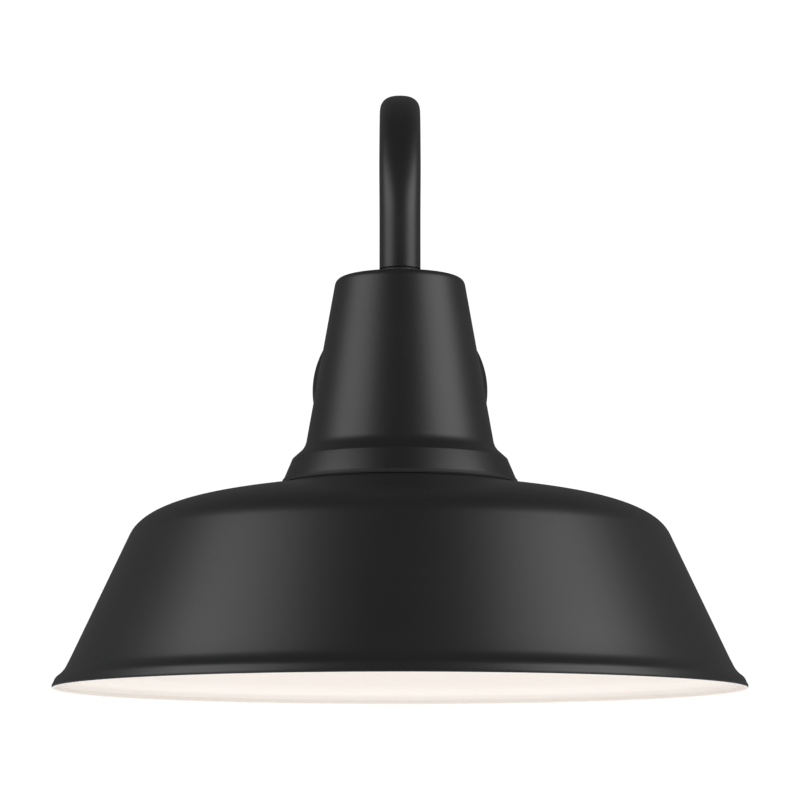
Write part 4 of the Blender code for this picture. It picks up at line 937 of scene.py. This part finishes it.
def make_screws():
    """Every screw, with its head's recess and its thread.

    Each is turned by a matrix whose last column is the way that its head faces.
    """
    up = np.eye(3)
    down = np.diag([1.0, -1.0, -1.0])
    out = np.array([[1.0, 0.0, 0.0], [0.0, 0.0, -1.0], [0.0, 1.0, 0.0]])
    left = np.array([[0.0, 0.0, -1.0], [0.0, 1.0, 0.0], [1.0, 0.0, 0.0]])
    screws = {
        "shade_screw_1": (ZINC, down), "shade_screw_2": (ZINC, down),
        "shade_screw_3": (ZINC, down),
        "socket_screw_left": (ZINC, up), "socket_screw_right": (ZINC, up),
        "terminal_screw_line": (BRASS, up), "terminal_screw_neutral": (NICKEL, up),
        "strap_ground_screw": (GREEN, out), "bracket_ground_screw": (GREEN, left),
    }
    for node, (finish, turn) in screws.items():
        low, high = corners(node)
        along = np.argmax(np.abs(turn[:, 2]))
        place = (low + high) / 2
        if turn[along, 2] > 0:
            place[along] = high[along] - HEAD_HEIGHT
        else:
            place[along] = low[along] + HEAD_HEIGHT
        grid = screw_grid(high[along] - low[along] - HEAD_HEIGHT) @ turn.T + place
        piece(node + "_cross", grid, node, [finish], ring=False, sharp=30)


def make_clamp():
    """The flat clamp ring inside the shade, and the gasket that shows under the flange."""
    flat_ring("shade_clamp_ring_pressed", "shade_clamp_ring", NECK_HOLE, 0.0004, ZINC, FINE)
    tall = length_of("shade_gasket")
    foot = FLANGE_RADIUS
    outline = rounded(
        [
            (NECK_HOLE, 0.0, 0.0004), (foot - 0.0002, 0.0, 0.0),
            (foot + 0.0024, -0.0009, 0.0002), (foot + 0.0005, tall * 0.5, 0.0022),
            (foot + 0.00025, tall + 0.0010, 0.0), (foot + 0.00005, tall + 0.0010, 0.0),
            (foot + 0.00005, tall, 0.0), (NECK_HOLE, tall, 0.0004),
        ],
        8,
    )
    grid = set_in(revolve(outline, FINE), "shade_gasket")
    piece("shade_gasket_ring", grid, "shade_gasket", [RUBBER])


# ---- lampholder -------------------------------------------------------------------------------
def make_lampholder():
    """The porcelain body, its screw shell and centre contact."""
    flange = half_width("lampholder")
    height = length_of("lampholder")
    underside = height - 0.0060
    shell = half_width("screw_shell")
    shell_top = corners("screw_shell")[1][2]
    bore = shell + GAP
    body = bore + 0.0047
    ceiling = shell_top + GAP - corners("lampholder")[0][2]
    rivet_hole = 0.0019
    outline = rounded(
        [
            (rivet_hole, ceiling, 0.0), (bore, ceiling, 0.0006), (bore, 0.0055, 0.0020),
            (bore + 0.0032, 0.0, 0.0006), (body, 0.0, 0.0009), (body, underside, 0.0012),
            (flange, underside, 0.0012), (flange, height, 0.0012), (rivet_hole, height, 0.0004),
        ],
        6,
    )
    grid = set_in(revolve(outline, FINE), "lampholder")
    piece("lampholder_glazed", grid, "lampholder", [PORCELAIN], sharp=50)
    length = length_of("screw_shell")
    sheet = 0.0005
    grid = rolled_thread(shell - 0.0001, length - 0.0006, 0.0004, sheet)
    base = revolve(np.array([[0.0060, length], [0.0060, length - sheet]]), MEDIUM)
    grid = set_in(joined(grid, base), "screw_shell")
    piece("screw_shell_rolled", grid, "screw_shell", [BRASS], sharp=50)
    radius = half_width("centre_contact")
    tall = length_of("centre_contact")
    stem = 0.0016
    outline = rounded(
        [
            (0.0, 0.0, 0.0), (radius * 0.7, 0.0, 0.0010), (radius, 0.0007, 0.0003),
            (radius, 0.0016, 0.0002), (stem, 0.0016, 0.0), (stem, tall, 0.0004),
            (0.0, tall, 0.0),
        ],
        4,
    )
    grid = set_in(revolve(outline, SMALL), "centre_contact")
    piece("centre_contact_stamped", grid, "centre_contact", [BRASS], ring=False)


def rolled_thread(crest, length, depth, wall):
    """Sheet with a rolled thread: outer skin up, inner skin down.

    The radius at height h and angle a is crest - depth (1 - cos(2 pi h / pitch - a)) / 2,
    easing to the crest within ROLLED_FADE of a turn of either end.
    """
    rows = int(length / CAP_PITCH * ROLLED_STEPS)
    height = np.linspace(0, length, rows)[:, None]
    angle = full_turn(MEDIUM)
    ease = np.clip(np.minimum(height, length - height) / (CAP_PITCH * ROLLED_FADE), 0, 1)
    wave = (1 - np.cos(2 * math.pi * height / CAP_PITCH - angle)) / 2 * ease
    radius = crest - depth * wave
    outside = polar(radius, height, angle)
    inside = polar(radius - wall, height, angle)
    return np.concatenate([outside, inside[::-1]])


def joined(thread, top):
    """A rolled thread with the rows of its top between its outer and its inner skin."""
    rows = len(thread) // 2
    return np.concatenate([thread[:rows], top, thread[rows:]])


# ---- bulb -------------------------------------------------------------------------------------
def make_bulb():
    """The lamp's globe, rolled screw cap, insulator and contact button."""
    crest = half_width("bulb_cap")
    shoulder = 0.0022
    length = length_of("bulb_cap") - shoulder
    hole = 0.0062
    sheet = 0.0005
    over = rounded(
        [
            (crest - CAP_SHEET, length, 0.0), (hole + 0.0018, length + shoulder, 0.0015),
            (hole, length + shoulder, 0.0), (hole, length + shoulder - sheet, 0.0),
            (hole + 0.0016, length + shoulder - sheet, 0.0012),
        ],
        5,
    )
    thread = rolled_thread(crest, length, CAP_THREAD, CAP_SHEET)
    grid = set_in(joined(thread, revolve(over, MEDIUM)), "bulb_cap")
    piece("bulb_cap_rolled", grid, "bulb_cap", [NICKEL], sharp=50)
    low, high = corners("bulb_globe")
    ball = half_width("bulb_globe")
    neck = crest - CAP_THREAD - CAP_SHEET - GAP
    centre = low[2] + ball
    top = corners("bulb_cap")[0][2] - GAP
    glass = 0.0007
    share = np.linspace(0, 1, 40)
    blend = (1 - np.cos(math.pi * share ** 0.85)) / 2
    upper = np.stack([neck + (ball - neck) * blend, top + (centre - top) * share], -1)
    swing = np.linspace(0, math.pi / 2, 32)[1:]
    lower = np.stack([ball * np.cos(swing), centre - ball * np.sin(swing)], -1)
    lower[-1, 0] = 0.0
    outside = np.concatenate([[[neck, high[2]]], upper, lower])
    inside = np.concatenate([
        [[neck - glass, high[2]]],
        np.stack([upper[:, 0] - glass, upper[:, 1]], -1),
        np.stack([lower[:, 0] * (1 - glass / ball), lower[:, 1] + glass], -1),
    ])
    grid = on_axis(revolve(np.concatenate([inside[::-1], outside]), FINE))
    piece("bulb_globe_blown", grid, "bulb_globe", [PEARL], ring=False, sharp=50)
    rim = half_width("bulb_insulator")
    tall = length_of("bulb_insulator")
    outline = rounded(
        [
            (0.0, 0.0, 0.0), (rim, 0.0, 0.0004), (rim, 0.0022, 0.0010),
            (0.0038, tall, 0.0008), (0.0, tall, 0.0),
        ],
        5,
    )
    grid = set_in(revolve(outline, MEDIUM), "bulb_insulator")
    piece("bulb_insulator_fused", grid, "bulb_insulator", [BLACK_GLASS], ring=False)
    rim = half_width("bulb_contact")
    tall = length_of("bulb_contact")
    outline = rounded(
        [(0.0, 0.0, 0.0), (rim, 0.0, 0.0002), (rim, tall, 0.0014), (0.0, tall, 0.0)], 8
    )
    grid = set_in(revolve(outline, SMALL), "bulb_contact")
    piece("bulb_contact_soldered", grid, "bulb_contact", [NICKEL], ring=False)


# ---- wires ------------------------------------------------------------------------------------
def make_connectors():
    """Twist-on connectors: a cone whose radius carries twelve ribs, r (1 + 0.06 |cos 6a|).

    The ribs fade out within plain of the middle, where the wire goes in.
    """
    angles = {"line": 90.0, "neutral": 210.0, "ground": 330.0}
    start = 0.0215
    length = 0.0190
    wide = 0.0049
    tip = 0.0034
    wire = 0.0017
    socket = 0.0060
    outline = rounded(
        [
            (0.0, socket, 0.0), (wire, socket, 0.0), (wire, 0.0, 0.0003),
            (wide, 0.0, 0.0008), (wide, length * 0.35, 0.0040), (tip, length, 0.0016),
            (0.0, length, 0.0),
        ],
        6,
    )
    grid = revolve(outline, MEDIUM)
    plain = 0.0030
    fading = 0.0004
    skin = np.clip((outline[:, 0] - plain) / fading, 0, 1)[:, None]
    ribs = 1 + 0.06 * np.abs(np.cos(6 * full_turn(MEDIUM))) * skin
    grid[..., :2] *= ribs[..., None]
    outward = np.array([0.0, -1.0, 0.0])
    for lead, degrees in angles.items():
        node = "connector_" + lead
        low, high = corners(node)
        out = -(low[1] + high[1]) / 2
        angle = math.radians(degrees)
        radial = np.array([math.cos(angle), 0, math.sin(angle)])
        across = np.array([-math.sin(angle), 0, math.cos(angle)])
        points = (
            grid[..., 0, None] * across + grid[..., 1, None] * outward
            + (grid[..., 2, None] + start) * radial + out * outward
        )
        piece(node + "_ribbed", points, node, [CONNECTOR], ring=False, sharp=30)


def paint_kept_nodes():
    """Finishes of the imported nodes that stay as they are."""
    kept = {"bulb_stem": CLEAR, "filament": TUNGSTEN}
    for lead, finish in LEADS.items():
        kept["lead_" + lead] = finish
    for node, finish in kept.items():
        mesh = frame["nodes"][node].data
        mesh.materials.clear()
        mesh.materials.append(finish)


# ---- studio -----------------------------------------------------------------------------------
def softbox(name, place, target, width, height, brightness):
    """A rectangular area light of a given radiance, aimed at a place."""
    data = bpy.data.lights.new(name, "AREA")
    data.shape = "RECTANGLE"
    data.size = width
    data.size_y = height
    data.energy = brightness * math.pi * width * height
    lamp = bpy.data.objects.new(name, data)
    lamp.location = place
    lamp.rotation_euler = (Vector(target) - Vector(place)).to_track_quat("-Z", "Y").to_euler()
    lamp.visible_camera = False
    bpy.context.scene.collection.objects.link(lamp)


def around(azimuth, distance, height):
    """A place round the shade's axis, azimuth in degrees from the front towards +X."""
    angle = math.radians(azimuth)
    return (
        AXIS[0] + distance * math.sin(angle), AXIS[1] - distance * math.cos(angle), height
    )


def make_lights():
    """Softboxes at the two sides, one under the mouth and one close over the floor."""
    distance = 1.7
    height = 0.72
    width = 1.60
    tall = 1.35
    aim = (AXIS[0], AXIS[1], -0.04)
    softbox("left_softbox", around(-67, distance, height), aim, width, tall, 2.75)
    softbox("right_softbox", around(66, distance, height), aim, width, tall, 3.3)
    mouth = (AXIS[0], AXIS[1], RIM)
    softbox("mouth_light", around(0, 0.05, RIM - 0.38), mouth, 1.00, 1.00, 0.44)
    floor = (AXIS[0], AXIS[1], RIM - FLOOR_DROP)
    over = (AXIS[0], AXIS[1], RIM - FLOOR_DROP + 0.10)
    softbox("floor_light", over, floor, FLOOR_SPAN, FLOOR_SPAN, 0.80)


def make_world():
    """White surroundings: full white to the eye, soft and brighter behind for the light."""
    world = bpy.data.worlds.new("studio")
    bpy.context.scene.world = world
    world.use_nodes = True
    tree = world.node_tree
    tree.nodes.clear()
    place = add_node(tree, "ShaderNodeTexCoord", {}, {}, "Generated")
    behind = add_node(tree, "ShaderNodeSeparateXYZ", {}, {0: place}, "Y")
    strength = add_node(
        tree, "ShaderNodeMapRange", {"interpolation_type": "SMOOTHSTEP"},
        {"Value": behind, "From Min": -0.1, "From Max": 0.75, "To Min": 0.09, "To Max": 0.15},
    )
    white = (1.0, 1.0, 1.0, 1.0)
    soft = add_node(tree, "ShaderNodeBackground", {}, {"Color": white, "Strength": strength})
    seen = add_node(tree, "ShaderNodeBackground", {}, {"Color": white, "Strength": 1.05})
    to_eye = add_node(tree, "ShaderNodeLightPath", {}, {}, "Is Camera Ray")
    mix = add_node(tree, "ShaderNodeMixShader", {}, {0: to_eye, 1: soft, 2: seen})
    output = tree.nodes.new("ShaderNodeOutputWorld")
    feed(tree, output.inputs["Surface"], mix)


def make_floor():
    """A pale floor well below the light."""
    half = FLOOR_SPAN / 2
    steps = np.linspace(-half, half, FLOOR_POINTS)
    x, y = np.meshgrid(steps, steps)
    grid = np.stack([x + AXIS[0], y + AXIS[1], RIM - FLOOR_DROP + 0 * x], axis=-1)
    number = np.arange(FLOOR_POINTS ** 2).reshape(FLOOR_POINTS, FLOOR_POINTS)
    faces = np.stack([number[:-1, :-1], number[:-1, 1:], number[1:, 1:], number[1:, :-1]], -1)
    mesh = bpy.data.meshes.new("floor")
    mesh.from_pydata(grid.reshape(-1, 3).tolist(), [], faces.reshape(-1, 4).tolist())
    mesh.materials.append(studio_floor())
    floor = bpy.data.objects.new("floor", mesh)
    bpy.context.scene.collection.objects.link(floor)


def make_camera():
    """A long lens a little below the rim, looking up a little."""
    data = bpy.data.cameras.new("camera")
    data.lens = CAMERA_LENS
    data.sensor_width = CAMERA_SENSOR
    data.clip_end = 100.0
    camera = bpy.data.objects.new("camera", data)
    camera.location = (AXIS[0], AXIS[1] - CAMERA_DISTANCE, RIM - CAMERA_DROP)
    camera.rotation_euler = (math.radians(90 + CAMERA_PITCH), 0, 0)
    bpy.context.scene.collection.objects.link(camera)
    bpy.context.scene.camera = camera


make_shade()
make_neck()
make_seal()
make_arm()
make_canopy()
make_nuts()
make_threads()
make_screws()
make_clamp()
make_lampholder()
make_bulb()
make_connectors()
eased("socket_bracket", 0.0003, ZINC)
eased("mounting_strap", 0.0003, ZINC)
paint_kept_nodes()
make_world()
make_lights()
make_floor()
make_camera()
bpy.context.scene.view_settings.view_transform = "Standard"
